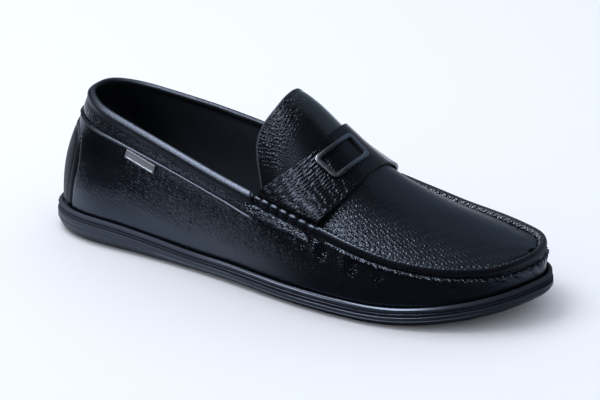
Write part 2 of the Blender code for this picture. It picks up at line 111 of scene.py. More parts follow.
def smoothCurve(knots, points, at, closed=False):
    # cubic through the points with no jump in bend
    knots, points, at = (np.asarray(x, float) for x in (knots, points, at))
    count, step = len(points), np.diff(knots)
    if closed:
        at = (at - knots[0]) % (knots[-1] - knots[0]) + knots[0]
    system, pull = np.zeros((count, count)), np.zeros_like(points)
    for i in range(len(step)):
        j = (i + 1) % count
        for near, far in ((i, j), (j, i)):
            system[near, near] += 2 / step[i]
            system[near, far] += 1 / step[i]
            pull[near] += 3 * (points[j] - points[i]) / step[i] ** 2
    slope = np.linalg.solve(system, pull)
    i = np.clip(np.searchsorted(knots, at, side="right") - 1, 0, len(step) - 1)
    j = (i + 1) % count
    h = step[i][:, None]
    t = (at - knots[i])[:, None] / h
    start = (2 * t**3 - 3 * t**2 + 1) * points[i] + (t**3 - 2 * t**2 + t) * slope[i] * h
    return start + (3 * t**2 - 2 * t**3) * points[j] + (t**3 - t**2) * slope[j] * h


def aroundShoe(values):
    # heel, outer side, toe, then the inner side back to the heel
    return np.array(list(values) + list(values[-2:0:-1]), float)


def planPoints(rows):
    lateral = [(row[0] * last["length"], -row[1] * last["ballWidth"]) for row in rows]
    medial = [(row[0] * last["length"], row[2] * last["ballWidth"]) for row in rows]
    return np.array(lateral[:-1] + medial[:0:-1])


outlinePoints = planPoints(outlineRows)
chords = np.linalg.norm(np.roll(outlinePoints, -1, axis=0) - outlinePoints, axis=1)
knots = np.concatenate([[0], np.cumsum(chords)])
girth = knots[-1]
topHeights = aroundShoe([row[3] * last["collarHeight"] for row in topRows])
topHeights[toeRow:] -= np.array([row[4] * mm for row in topRows[:0:-1]])
topPoints = np.column_stack([planPoints(topRows), topHeights])
wallShape = aroundShoe([(row[5], row[6] * mm) for row in topRows])


def placeOf(row, medial=False):
    # distance round the sole at a section
    number = np.arange(toeRow + 1)
    if medial:
        return np.interp(row, number, knots[toeRow:][::-1])
    return np.interp(row, number, knots[: toeRow + 1])


def placesRound(rows):
    # forward along the outer side to the toe, then back along the inner side
    return np.concatenate([placeOf(rows), placeOf(rows[-2::-1], medial=True)])


def sectionOf(s):
    # section number at a distance round the sole, the same on both sides
    s = s % girth
    outer = np.interp(s, knots[: toeRow + 1], np.arange(toeRow + 1))
    inner = toeRow - np.interp(s, knots[toeRow:], np.arange(toeRow + 1))
    return np.where(s < knots[toeRow], outer, inner)


def rowAlong(along):
    return np.interp(along, [row[0] for row in topRows], np.arange(toeRow + 1))


def outline(s):
    return smoothCurve(knots, outlinePoints, s, closed=True)


def topEdge(s):
    return smoothCurve(knots, topPoints, s, closed=True)


def outward(curve, s, step=0.01 * mm):
    tangent = (curve(s + step) - curve(s - step))[:, :2]
    return unit(np.column_stack([tangent[:, 1], -tangent[:, 0]]))


def floorClearance(x):
    along = x / last["length"]
    arch = np.clip((along - last["arch"][0]) / (last["arch"][1] - last["arch"][0]), 0, 1)
    spring = np.clip((along - last["springStart"]) / (1 - last["springStart"]), 0, 1)
    return last["archRise"] * np.sin(math.pi * arch) ** 2 + last["toeSpring"] * spring**2


def widestHeight(x):
    taper = easeIn(x / last["length"], *last["taper"])
    return floorClearance(x) + last["heelThickness"] * (1 - taper) + last["foreThickness"] * taper


def bedHeight(x):
    return widestHeight(x) + last["bedRise"]


def wallPoint(s, v):
    # outer face of the upper, from the sole at 0 to the top edge at 1
    out = outward(outline, s)
    foot = outline(s) - out * last["wallInset"]
    footHeight = bedHeight(foot[:, 0]) + last["gap"]
    top = topEdge(s)
    head = top[:, :2] + outward(topEdge, s) * last["wallThickness"] / 2
    headHeight = top[:, 2] - last["rollRadius"] - last["gap"]
    lean, bulge = smoothCurve(knots, wallShape, s, closed=True).T
    plan = foot + (head - foot) * (v**lean)[:, None] + out * (bulge * np.sin(math.pi * v) ** 2)[:, None]
    return np.column_stack([plan, footHeight + (headHeight - footHeight) * v])


def plugPoint(row, side):
    # outer face of apron and tongue, from the outer seam at -1 to the inner one at 1
    seams = []
    for medial in (False, True):
        s = placeOf(row, medial)
        seam = topEdge(s)
        seam[:, :2] -= outward(topEdge, s) * (last["rollRadius"] + last["gap"])
        seams.append(seam)
    share = (side[:, None] + 1) / 2
    chord = seams[0] * (1 - share) + seams[1] * share
    along = [row[0] * last["length"] for row in spineRows]
    heights = [[row[1] * last["instepHeight"]] for row in spineRows]
    spine = smoothCurve(along, heights, chord[:, 0])[:, 0]
    crest = last["crestShift"]
    reach = np.where(side > crest, 1 - crest, 1 + crest)
    crown = np.maximum(spine - chord[:, 2], 0)
    chord[:, 2] += crown * (1 - np.abs((side - crest) / reach) ** last["archPower"])
    return chord


def lifted(surface, u, v, distance, stepU, stepV):
    du = surface(u + stepU, v) - surface(u - stepU, v)
    dv = surface(u, v + stepV) - surface(u, v - stepV)
    return surface(u, v) + unit(np.cross(du, dv)) * np.reshape(distance, (-1, 1))


def onWall(s, v, distance):
    return lifted(wallPoint, s, np.clip(v, 0.002, 1.05), distance, 0.01 * mm, 0.001)


def onPlug(row, side, distance):
    row = np.minimum(row, toeRow - 0.05)
    return lifted(plugPoint, row, np.clip(side, -0.998, 0.998), distance, 0.01, 0.001)


def wallLength(s):
    return np.linalg.norm(wallPoint(s, np.ones_like(s)) - wallPoint(s, np.zeros_like(s)), axis=1)


def drift(x, y, seed):
    # slow wandering value between about -1 and 1
    a = np.sin(1.3 * x + 2.1 * np.sin(0.7 * y + seed) + seed)
    b = np.sin(2.9 * y - 1.7 * np.sin(0.9 * x - seed) + 2 * seed)
    return 0.5 * (a + b)


soleLine = outline(placesRound(np.arange(toeRow * 4 + 1) / 4))
origin = np.array([*(soleLine.min(axis=0) + soleLine.max(axis=0)) / 2, 0])


# Modelling helpers
def selectOnly(piece):
    bpy.ops.object.select_all(action="DESELECT")
    piece.select_set(True)
    bpy.context.view_layer.objects.active = piece


def faceOut(piece, closed):
    # merges what meets, then turns the faces away from the foot
    selectOnly(piece)
    bpy.ops.object.mode_set(mode="EDIT")
    bpy.ops.mesh.select_all(action="SELECT")
    bpy.ops.mesh.remove_doubles(threshold=0.002 * mm)
    bpy.ops.mesh.normals_make_consistent(inside=False)
    bpy.ops.object.mode_set(mode="OBJECT")
    if not closed:
        inside = Vector((0, 0, 20 * mm))
        towards = sum((f.center - inside).normalized().dot(f.normal) * f.area for f in piece.data.polygons)
        if towards < 0:
            piece.data.flip_normals()


def applyModifier(piece, kind, **settings):
    bpy.ops.object.modifier_add(type=kind)
    modifier = piece.modifiers[-1]
    for key, value in settings.items():
        setattr(modifier, key, value)
    bpy.ops.object.modifier_apply(modifier=modifier.name)


def thicken(piece, thickness, round):
    selectOnly(piece)
    applyModifier(piece, "SOLIDIFY", thickness=thickness, offset=-1)
    if round:
        applyModifier(piece, "BEVEL", width=round, segments=3, limit_method="ANGLE",
                      angle_limit=math.radians(50), use_clamp_overlap=True)


def layGrid(name, columns, levels, place, closed=False, thickness=0, round=0, spread=None, **finish):
    # a grid primitive whose points are laid on the last, with values at each point for the materials
    bpy.ops.object.select_all(action="DESELECT")
    bpy.ops.mesh.primitive_grid_add(x_subdivisions=columns - 1, y_subdivisions=levels - 1, size=1)
    piece = bpy.context.object
    mesh = piece.data
    piece.name = mesh.name = name
    flat = np.empty(columns * levels * 3)
    mesh.vertices.foreach_get("co", flat)
    x, y = flat.reshape(-1, 3)[:, :2].T
    i = np.rint((x + 0.5) * (columns - 1)).astype(int)
    j = np.rint((y + 0.5) * (levels - 1)).astype(int)
    mesh.vertices.foreach_set("co", (place(i, j) - origin).ravel())
    mesh.update()
    if spread:  # lays the points out flat for the grain
        mesh.vertices.foreach_get("co", flat)
        corner = np.empty(len(mesh.loops), int)
        mesh.loops.foreach_get("vertex_index", corner)
        layer = mesh.uv_layers.active.data
        layer.foreach_set("uv", spread(flat.reshape(levels, columns, 3))[corner].ravel())
    for attribute, values in finish.items():
        layer = mesh.attributes.new(attribute, "FLOAT", "POINT")
        everywhere = np.broadcast_to(values, (levels, columns)).astype(np.float32)
        layer.data.foreach_set("value", everywhere.ravel())
    faceOut(piece, closed)
    if thickness:
        thicken(piece, thickness, round)
    return piece


def layRings(name, rings, **finish):
    stack = np.stack(rings)
    return layGrid(name, stack.shape[1], len(rings), lambda i, j: stack[j, i], closed=True, **finish)


def drawIn(ring, share):
    # a ring drawn in towards the shoe's middle line
    middle = (ring + ring[::-1]) / 2
    return middle + (ring - middle) * share


def finishPiece(piece, material, slot, *nodes, angle=50):
    selectOnly(piece)
    bpy.ops.object.shade_smooth_by_angle(angle=math.radians(angle))
    piece.data.materials.clear()
    piece.data.materials.append(material)
    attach(piece, "root")
    if nodes:
        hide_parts(*nodes)


def seamAxes(s):
    # along the top edge, outwards and up
    along = unit(topEdge(s + 0.05 * mm) - topEdge(s - 0.05 * mm))
    out = np.column_stack([outward(topEdge, s), np.zeros_like(s)])
    out = unit(out - along * (out * along).sum(axis=1, keepdims=True))
    up = np.cross(out, along)
    return along, out, up * np.sign(up[:, 2:])


def tube(name, centre, out, up, section, sides, **finish):
    # a roll whose section gives offsets outwards and up at each place and angle
    def place(i, j):
        a, b = section(i, 2 * math.pi * j / sides)
        return centre[i] + out[i] * a[:, None] + up[i] * b[:, None]

    return layGrid(name, len(centre), sides + 1, place, closed=True, **finish)


def throughCorners(corners, turn):
    # smooth closed section through corners given in mm
    count = len(corners)
    at = turn / (2 * math.pi) * count
    return smoothCurve(np.arange(count + 1), np.array(corners) * mm, at, closed=True).T


def endTaper(count, cells=5):
    # closes a roll at both ends
    n = np.minimum(np.arange(count), np.arange(count)[::-1]) / cells
    return np.sqrt(np.clip(1 - (1 - np.minimum(n, 1)) ** 2, 0, 1))


def stitchRow(name, spots, alongs, ups, size, scales=1.0):
    # one thread stitch is modelled and copied to every spot in one mesh
    bpy.ops.object.select_all(action="DESELECT")
    bpy.ops.mesh.primitive_uv_sphere_add(segments=8, ring_count=6, radius=0.5)
    piece = bpy.context.object
    piece.name = piece.data.name = name
    bpy.ops.object.mode_set(mode="EDIT")
    bpy.ops.mesh.select_all(action="SELECT")
    bpy.ops.transform.rotate(value=math.pi / 2, orient_axis="Y", center_override=(0, 0, 0))
    bpy.ops.transform.resize(value=size)
    bpy.ops.object.mode_set(mode="OBJECT")
    shape = np.array([v.co for v in piece.data.vertices])
    faces = [list(f.vertices) for f in piece.data.polygons]
    alongs = unit(alongs)
    sides = unit(np.cross(ups, alongs))
    turns = np.stack([alongs, sides, np.cross(alongs, sides)], axis=1)
    scales = np.broadcast_to(scales, len(spots))[:, None, None]
    points = (scales * shape) @ turns + spots[:, None] - origin
    copies = [[n + k * len(shape) for n in face] for k in range(len(spots)) for face in faces]
    piece.data.clear_geometry()
    piece.data.from_pydata(points.reshape(-1, 3).tolist(), [], copies)
    piece.data.validate()
    faceOut(piece, closed=True)
    return piece


# Materials
def feed(tree, socket, value):
    # a value, or another node's output
    if isinstance(value, bpy.types.NodeSocket):
        tree.links.new(value, socket)
    else:
        socket.default_value = (*value, 1) if socket.type == "RGBA" else value


def addNode(tree, kind, options=None, **inputs):
    node = tree.nodes.new("ShaderNode" + kind)
    for key, value in (options or {}).items():
        setattr(node, key, value)
    for key, value in inputs.items():
        feed(tree, node.inputs[key], value)
    return node


def calculate(tree, operation, *values, kind="Math"):
    node = addNode(tree, kind, {"operation": operation})
    for socket, value in zip(node.inputs, values):
        feed(tree, socket, value)
    return node.outputs[0]


def ramp(tree, value, low, high, start=0.0, end=1.0, clamp=True, shape="LINEAR"):
    options = {"clamp": clamp, "interpolation_type": shape}
    limits = {"From Min": start, "From Max": end, "To Min": low, "To Max": high}
    return addNode(tree, "MapRange", options, Value=value, **limits).outputs["Result"]


def attribute(tree, name):
    return addNode(tree, "Attribute", {"attribute_name": name}).outputs["Fac"]


def mixColour(tree, factor, first, second):
    return addNode(tree, "Mix", {"data_type": "RGBA"}, Factor=factor, A=first, B=second).outputs["Result"]


def shaded(colour, share):
    return [share * c for c in colour]


def addBump(tree, shader, height, distance, strength=1.0):
    bump = addNode(tree, "Bump", Strength=strength, Distance=distance, Height=height)
    feed(tree, shader.inputs["Normal"], bump.outputs[0])


def newMaterial(name, colour, roughness, metallic=0.0, specular=0.5, tint=(0.64, 0.76, 1), sheen=0.0):
    material = bpy.data.materials.new(name)
    material.use_nodes = True
    tree = material.node_tree
    shader = tree.nodes["Principled BSDF"]
    values = {
        "Base Color": colour, "Roughness": roughness, "Metallic": metallic, "Coat Roughness": 0.2,
        "Specular IOR Level": specular, "Specular Tint": tint,
        "Sheen Weight": sheen, "Sheen Roughness": 0.3,
    }
    for key, value in values.items():
        feed(tree, shader.inputs[key], value)
    return material, tree, shader


def makeGrainGroup():
    # pebbles with creased edges, broken up by fine pores
    group = bpy.data.node_groups.new("leatherGrain", "ShaderNodeTree")
    sockets = [("Vector", "INPUT", "Vector"), ("Wander", "INPUT", "Vector"), ("Pores", "INPUT", "Float"),
               ("Scatter", "INPUT", "Float"), ("Height", "OUTPUT", "Float"), ("Crease", "OUTPUT", "Float")]
    for name, way, kind in sockets:
        group.interface.new_socket(name=name, in_out=way, socket_type="NodeSocket" + kind)
    start = group.nodes.new("NodeGroupInput").outputs
    end = group.nodes.new("NodeGroupOutput").inputs
    noise = addNode(group, "TexNoise", Scale=0.7, Detail=2.0, Vector=start["Vector"])
    centred = calculate(group, "SUBTRACT", noise.outputs["Color"], (0.5, 0.5, 0.5), kind="VectorMath")
    moved = calculate(group, "MULTIPLY_ADD", centred, start["Wander"], start["Vector"], kind="VectorMath")
    cells = addNode(group, "TexVoronoi", {"feature": "DISTANCE_TO_EDGE"}, Vector=moved, Scale=1.0,
                    Randomness=start["Scatter"])
    dome = ramp(group, cells.outputs["Distance"], 0, 1, 0, 0.48, shape="SMOOTHSTEP")
    pores = addNode(group, "TexNoise", Scale=3.5, Detail=3.0, Vector=start["Vector"])
    feed(group, end["Height"], calculate(group, "MULTIPLY_ADD", pores.outputs["Fac"], start["Pores"], dome))
    feed(group, end["Crease"], dome)
    return group


grainGroup = makeGrainGroup()


def makeLeather(name, cell, depth, roughness, colour=(0.0038, 0.0044, 0.0064), source="Object",
                turn=(0, 0, 0), wander=(0.35, 0.35, 0.35), pores=0.25, scatter=0.7, rough=0.12,
                specular=0.5, sheen=0.0):
    # cell is the size of a grain pebble along each axis in mm, turn lays those axes over the shoe
    material, tree, shader = newMaterial(name, colour, roughness, specular=specular, sheen=sheen)
    place = addNode(tree, "TexCoord").outputs
    mapping = addNode(tree, "Mapping", {"vector_type": "TEXTURE"}, Vector=place[source],
                      Scale=[size * mm for size in cell], Rotation=[math.radians(angle) for angle in turn])
    grain = addNode(tree, "Group", {"node_tree": grainGroup}, Vector=mapping.outputs[0],
                    Wander=wander, Pores=pores, Scatter=scatter).outputs
    stretched = attribute(tree, "plain")  # where the leather is pulled smooth
    left = ramp(tree, stretched, 1.0, 0.0, clamp=False)
    addBump(tree, shader, calculate(tree, "MULTIPLY", grain["Height"], left), depth * mm)
    crease = calculate(tree, "MAXIMUM", grain["Crease"], stretched)
    patches = addNode(tree, "TexNoise", Scale=45.0, Detail=3.0, Vector=place["Object"]).outputs["Fac"]
    dye = mixColour(tree, patches, shaded(colour, 0.75), shaded(colour, 1.25))
    # the tops of the pebbles are rubbed a little lighter
    worn = mixColour(tree, ramp(tree, crease, 0.0, 0.5, 0.7), dye, shaded(colour, 1.5))
    feed(tree, shader.inputs["Base Color"], worn)
    gloss = ramp(tree, crease, roughness + rough, roughness - rough / 3)
    uneven = calculate(tree, "MULTIPLY_ADD", patches, 0.08, gloss)
    matt = calculate(tree, "MULTIPLY_ADD", attribute(tree, "dull"), 0.32, uneven)
    feed(tree, shader.inputs["Roughness"], matt)
    feed(tree, shader.inputs["Coat Weight"], attribute(tree, "shine"))
    return material


leatherValues = {
    "quarter": dict(cell=(2.8, 1.5, 1.4), depth=0.21, roughness=0.17, colour=(0.0026, 0.0030, 0.0045),
                    turn=(0, 21, 0), wander=(0.5, 0.5, 0.5), pores=0.12, scatter=0.85, rough=0.10,
                    specular=0.85),
    "apron": dict(cell=(1.4, 2.2, 1.8), depth=0.18, roughness=0.20, turn=(0, 0, -14), scatter=0.45,
                  specular=0.43),
    "tongue": dict(cell=(1.7, 1.7, 1.9), depth=0.32, roughness=0.17, scatter=0.6, rough=0.05,
                   specular=0.2, sheen=0.15),
    "strap": dict(cell=(4.8, 1.9, 1), depth=0.34, roughness=0.18, source="UV", wander=(1.6, 0.12, 0),
                  pores=0.10, scatter=0.2, rough=0.05, specular=0.20, sheen=0.1),
    "trim": dict(cell=(1.5, 1.3, 1.3), depth=0.06, roughness=0.30),
    "strapEnd": dict(cell=(2.6, 1.5, 1.3), depth=0.30, roughness=0.22, turn=(0, -38, 0),
                     wander=(0.25, 0.25, 0.25), pores=0.10, scatter=0.4, specular=0.45),
    "heelStrip": dict(cell=(3.0, 1.5, 1.4), depth=0.06, roughness=0.34, specular=0.3),
    "roll": dict(cell=(2.0, 2.0, 2.0), depth=0.03, roughness=0.20),
    "cutEdge": dict(cell=(0.9, 0.9, 0.9), depth=0.03, roughness=0.42, colour=(0.014, 0.015, 0.020)),
    "lining": dict(cell=(1.0, 1.0, 1.0), depth=0.05, roughness=0.60, colour=(0.0055, 0.0063, 0.0085)),
    "sock": dict(cell=(1.2, 1.2, 1.2), depth=0.05, roughness=0.55, colour=(0.040, 0.043, 0.053)),
}
leathers = {key: makeLeather(key + "Leather", **values) for key, values in leatherValues.items()}
print("materials made")


# Outsole: a cup with two beads over a plain wall
sole = {
    "columns": 620,
    "foot": 5.0,  # how far the tread lies inside the widest line, in mm
    "wall": [  # inset in mm, share of the wall's height
        (4.2, 0.02), (3.4, 0.05), (2.6, 0.12), (1.7, 0.22), (1.0, 0.33), (0.45, 0.44), (0.20, 0.545),
        (0.08, 0.575), (-0.20, 0.60), (-0.24, 0.62), (-0.05, 0.645), (-0.04, 0.68), (-0.12, 0.80),
        (-0.20, 0.92), (-0.18, 0.965), (0.05, 0.992), (0.40, 1.0),
    ],
    "wallTop": 4.75,  # below the rim's top, in mm
    "beads": [  # inset and depth below the rim's top, in mm
        (1.40, 4.50), (1.50, 4.32), (1.25, 4.14), (0.85, 4.06), (0.60, 3.85), (0.56, 3.60), (0.68, 3.36),
        (0.95, 3.20), (1.45, 3.10), (1.55, 2.92), (1.45, 2.74), (0.92, 2.50), (0.55, 2.15), (0.38, 1.75),
        (0.34, 1.38), (0.44, 1.06), (0.66, 0.82), (0.94, 0.58), (1.22, 0.34), (1.50, 0.13), (1.85, 0.02),
        (2.30, 0.16), (2.75, 0.60), (3.05, 1.30), (3.35, 2.00), (3.60, 2.90),
    ],
    "bed": (0.7, 0.35, 0.0),  # shares of the rim's width
    "across": 20,
    "treadDepth": 1.1 * mm,
    "treadPitch": 7.5 * mm,
    "treadWave": (0.35, 6 * mm),
    "treadEdge": (0.34, 0.42),
    "treadRim": (0.10, 0.16),
    "treadEnds": (14 * mm, 20 * mm, 270 * mm, 278 * mm),
    "shine": (100 * mm, 145 * mm, 240 * mm, 275 * mm),  # where the gloss of the beads comes and goes
    "gloss": (-1.2, 2.2),  # of the beads at the ends, and how much more at the ball
    # the toe's rubber is darkened by this share as painted shade, standing in for the shadow over the toe
    "darkToe": (215 * mm, 265 * mm),
    "darkShare": 0.7,
    "colour": (0.026, 0.0305, 0.043),
}


def makeOutsole():
    s = placesRound(np.linspace(0, toeRow, sole["columns"] // 2 + 1))
    line, out = outline(s), outward(outline, s)
    x = line[:, 0]
    top = widestHeight(x) + last["rimRise"]
    foot = line - out * sole["foot"] * mm
    waveSize, waveLength = sole["treadWave"]
    ends = sole["treadEnds"]
    rings = []
    for share in np.linspace(0, 1, sole["across"]):
        plan = drawIn(foot, share)
        inside = easeIn(1 - share, *sole["treadRim"]) * easeIn(plan[:, 0], *ends[:2])
        inside *= 1 - easeIn(plan[:, 0], *ends[2:])
        wave = plan[:, 0] / sole["treadPitch"] + waveSize * np.sin(plan[:, 1] / waveLength)
        groove = sole["treadDepth"] * inside * easeIn(np.abs(wave % 1 - 0.5), *sole["treadEdge"])
        rings.append(np.column_stack([plan, floorClearance(plan[:, 0]) + groove]))
    wallTop = top - sole["wallTop"] * mm
    for inset, share in sole["wall"]:
        plan = line - out * inset * mm
        base = floorClearance(plan[:, 0])
        rings.append(np.column_stack([plan, base + (wallTop - base) * share]))
    for inset, depth in sole["beads"]:
        rings.append(np.column_stack([line - out * inset * mm, top - depth * mm]))
    rim = rings[-1][:, :2]
    for share in sole["bed"]:
        plan = drawIn(rim, share)
        rings.append(np.column_stack([plan, bedHeight(plan[:, 0])]))
    level = np.arange(len(rings))[:, None]
    beads = (level >= sole["across"] + len(sole["wall"]) - 3) & (level < len(rings) - len(sole["bed"]))
    ball = easeIn(x, *sole["shine"][:2]) * (1 - easeIn(x, *sole["shine"][2:]))
    least, more = sole["gloss"]
    # painted shade: the wall where it turns under and the whole toe are marked for a darker rubber colour,
    # standing in for the shadow there
    turnedUnder = 1 - easeIn(level, sole["across"] + 3, sole["across"] + 7)
    shade = np.maximum(turnedUnder, sole["darkShare"] * easeIn(x, *sole["darkToe"]))
    return layRings("outsole_shell", rings, gloss=beads * (more * ball + least), shade=shade)


def makeRubber():
    colour = sole["colour"]
    material, tree, shader = newMaterial("soleRubber", colour, 0.4)
    # painted shade: the colour is darkened where the wall turns under and over the toe, in place of the
    # shadow there
    paintedShadeColour = mixColour(tree, attribute(tree, "shade"), colour, shaded(colour, 0.25))
    feed(tree, shader.inputs["Base Color"], paintedShadeColour)
    bead = attribute(tree, "gloss")
    place = addNode(tree, "TexCoord").outputs["Object"]
    texture = addNode(tree, "TexNoise", Scale=1500.0, Detail=3.0, Vector=place)
    left = ramp(tree, bead, 1.0, 0.1)  # the texture stops at the beads
    addBump(tree, shader, calculate(tree, "MULTIPLY", texture.outputs["Fac"], left), 0.08 * mm)
    feed(tree, shader.inputs["Roughness"], ramp(tree, bead, 0.45, 0.15, clamp=False))
    return material


finishPiece(makeOutsole(), makeRubber(), "rubber", "outsole", angle=40)
print("outsole done")


# Insole
insole = {
    "thickness": 3.0 * mm, "edge": 6.4 * mm, "columns": 240,
    # shares of its width and of its thickness
    "section": [(0, 0), (0.5, 0), (1, 0), (1, 0.6), (0.985, 0.88), (0.96, 1), (0.7, 1.1), (0.35, 1.18),
                (0, 1.2)],
}


def makeInsole():
    s = placesRound(np.linspace(0, toeRow, insole["columns"] // 2 + 1))
    edge = outline(s) - outward(outline, s) * insole["edge"]
    rings = []
    for share, rise in insole["section"]:
        plan = drawIn(edge, share)
        height = bedHeight(plan[:, 0]) + last["gap"] + insole["thickness"] * rise
        rings.append(np.column_stack([plan, height]))
    return layRings("insole_sock", rings)


finishPiece(makeInsole(), leathers["sock"], "lining", "insole")


# Strip round the back of the heel, set into the wall
heelStrip = {
    # share of the wall's height, half width in mm
    "edge": [(0.07, 38.5), (0.32, 41.5), (0.61, 41.0), (0.72, 35.0), (0.80, 24.0)],
    "wall": 57,  # height of the wall there, in mm
    "lift": 0.35 * mm, "thickness": 1.2 * mm, "columns": 150, "levels": 64,
    "groove": 0.3 * mm, "stitch": 4.2, "edgeDrop": 1.1 * mm, "edgeRadius": 2.2,
    "recess": 1.5 * mm, "recessEdge": (-0.9, 0.3),
}


def stripHalf(rise):
    heights, widths = np.transpose(heelStrip["edge"])
    return smoothCurve(heights, widths[:, None], np.clip(rise, heights[0], heights[-1]))[:, 0]


def stripInside(s, rise):
    # distance in from the strip's nearest edge, in mm
    aside = np.abs((s + girth / 2) % girth - girth / 2) / mm
    return np.minimum(stripHalf(rise) - aside, (heelStrip["edge"][-1][0] - rise) * heelStrip["wall"])


# Upper: quarter below a seam, padded collar band above it, puckers under the ridge in front
upper = {
    "thickness": 1.3 * mm,
    "strapRow": 7,  # section where the closer columns of the toe begin
    "backColumns": 170,
    "toeColumns": 310,
    "below": 26,
    "above": 12,
    "seamRows": (0, 3, 5, 6, 6.45, 6.72, 6.95, 7.25, 8.2, 14),
    "seamDepth": (8.3, 8.6, 9.2, 9.8, 10.9, 11.0, 7.5, 4.0, 2.0, 1.9),  # below the wall's top, in mm
    "seamEnd": 6.98,
    "lip": 0.55 * mm,
    "lipReach": 4.5,
    "dip": 0.35 * mm,
    "dipReach": 0.8,
    "pad": 1.15 * mm,
    "tuck": 1.0 * mm,  # how far the wall goes up into the ridge
    "foldDepth": 1.0 * mm,
    # outwards and up from the collar's edge in mm: where the leather folds over the top
    "fold": [(2.42, -2.2), (2.44, -1.3), (2.36, -0.45), (2.05, 0.35), (1.50, 0.98), (0.80, 1.55),
             (0.05, 2.0), (-0.75, 2.1), (-1.5, 1.6)],
    "puckerPitch": 3.4 * mm,
    "pucker": 0.65 * mm,
    "puckerReach": 3.2,
    "puckerRow": 8.75,
    "gather": 1.6 * mm,
    "gatherPeak": 1.7,  # depth in mm
    "gatherReach": 4.2,
    # section, depth in mm, then the same at the other end, width in mm and height in mm
    "creases": [
        (8.10, 17.5, 8.46, 6.5, 2.0, 1.45), (8.66, 19.0, 9.04, 6.0, 2.2, 1.45),
        (9.24, 20.0, 9.50, 9.0, 2.2, 0.40), (7.70, 15.0, 8.02, 8.5, 2.0, 0.35),
        (10.98, 15.0, 11.02, 6.0, 2.2, 0.25),
    ],
    "uneven": 0.15 * mm,
    # where the leather is pulled smooth: low down, at the toe, and at the heel below and above the seam
    "plainLow": (0.12, 0.46),
    "plainToe": (9.3, 10.2),
    "plainHeel": ((2.4, 4.2), (1.2, 2.6)),
    "rim": (3.0 * mm, 0.8 * mm),
    "underRidge": ((7.4, 7.8), (5 * mm, 2.5 * mm)),
    "plain": {"low": 0.85, "toe": 0.6, "heel": 0.65, "rim": 0.75},
    "dull": {"rim": 0.7, "under": 0.6, "toe": 0.3},
}


def seamDepth(row):
    return np.interp(row, upper["seamRows"], upper["seamDepth"]) * mm


def puckers(s, row):
    # pleats of the gathered seam, uneven in size and spacing
    phase = s / upper["puckerPitch"] + 0.3 * np.sin(s / (9.7 * mm)) + 0.2 * np.sin(s / (4.3 * mm))
    size = 0.7 + 0.3 * np.sin(s / (13.1 * mm) + 1.1)
    return np.sin(2 * math.pi * phase) * size * easeIn(row, upper["puckerRow"], upper["puckerRow"] + 0.4)


def gathers(s):
    # fuller bits of the gathered seam, about one to each stitch of the ridge
    wave = np.sin(s / (1.05 * mm) + 0.8 * np.sin(s / (6.1 * mm)) + 0.5 * np.sin(s / (3.7 * mm)))
    return easeIn(wave, -0.2, 0.7)


def creaseShape(s, depth):
    # trough and ridge of each crease in mm, and how near they are
    shape, near = 0 * s * depth, 0 * s * depth
    for rowA, depthA, rowB, depthB, width, size in upper["creases"]:
        a = np.array([placeOf(rowA), depthA * mm])
        b = np.array([placeOf(rowB), depthB * mm])
        along = (b - a) / np.linalg.norm(b - a)
        du, dv = s - a[0], depth - a[1]
        across = (du * along[1] - dv * along[0]) / (width * mm)
        reach = (du * along[0] + dv * along[1]) / np.linalg.norm(b - a)
        fade = bell(np.maximum(np.abs(reach - 0.5) - 0.4, 0), 0.18)
        shape = shape + size * fade * (bell(across - 1.1) - bell(across))
        near = np.maximum(near, fade * bell(across - 0.4, 1.8))
    return shape, near


def wallLift(s, depth, row):
    # how far the leather stands off the last, depth below the wall's top
    u, seam = upper, seamDepth(row)
    below = (depth - seam) / mm
    back = 1 - easeIn(row, u["seamEnd"] - 0.12, u["seamEnd"])
    lip = u["lip"] * bell(below, u["lipReach"]) * easeIn(below, -0.05, 0.45)
    dip = -u["dip"] * bell(below, u["dipReach"]) * (below < 0)
    share = np.clip(1 + below * mm / seam, 0, 1)
    pad = u["pad"] * np.cos(math.pi / 2 * share**1.5) * (below < 0)
    # leather gathered under the ridge
    gather = easeIn(row, u["puckerRow"] - 0.3, u["puckerRow"] + 0.3)
    peak = u["gatherPeak"]
    swell = easeIn(depth, 0.1 * mm, peak * mm) * bell(np.maximum(depth / mm - peak, 0), u["gatherReach"])
    pleats = u["pucker"] * puckers(s, row) * bell(depth / mm, u["puckerReach"])
    full = gather * swell * (u["gather"] * (0.6 + 0.4 * gathers(s)) + pleats)
    rise = 1 - depth / wallLength(s)
    inStrip = easeIn(stripInside(s, rise), *heelStrip["recessEdge"])
    inStrip = inStrip * (rise < heelStrip["edge"][-1][0] + 0.05)
    lift = back * (lip + dip + pad) + full + creaseShape(s, depth)[0] * mm - heelStrip["recess"] * inStrip
    return lift + u["uneven"] * drift(s / (14 * mm), depth / (9 * mm), 0.6)


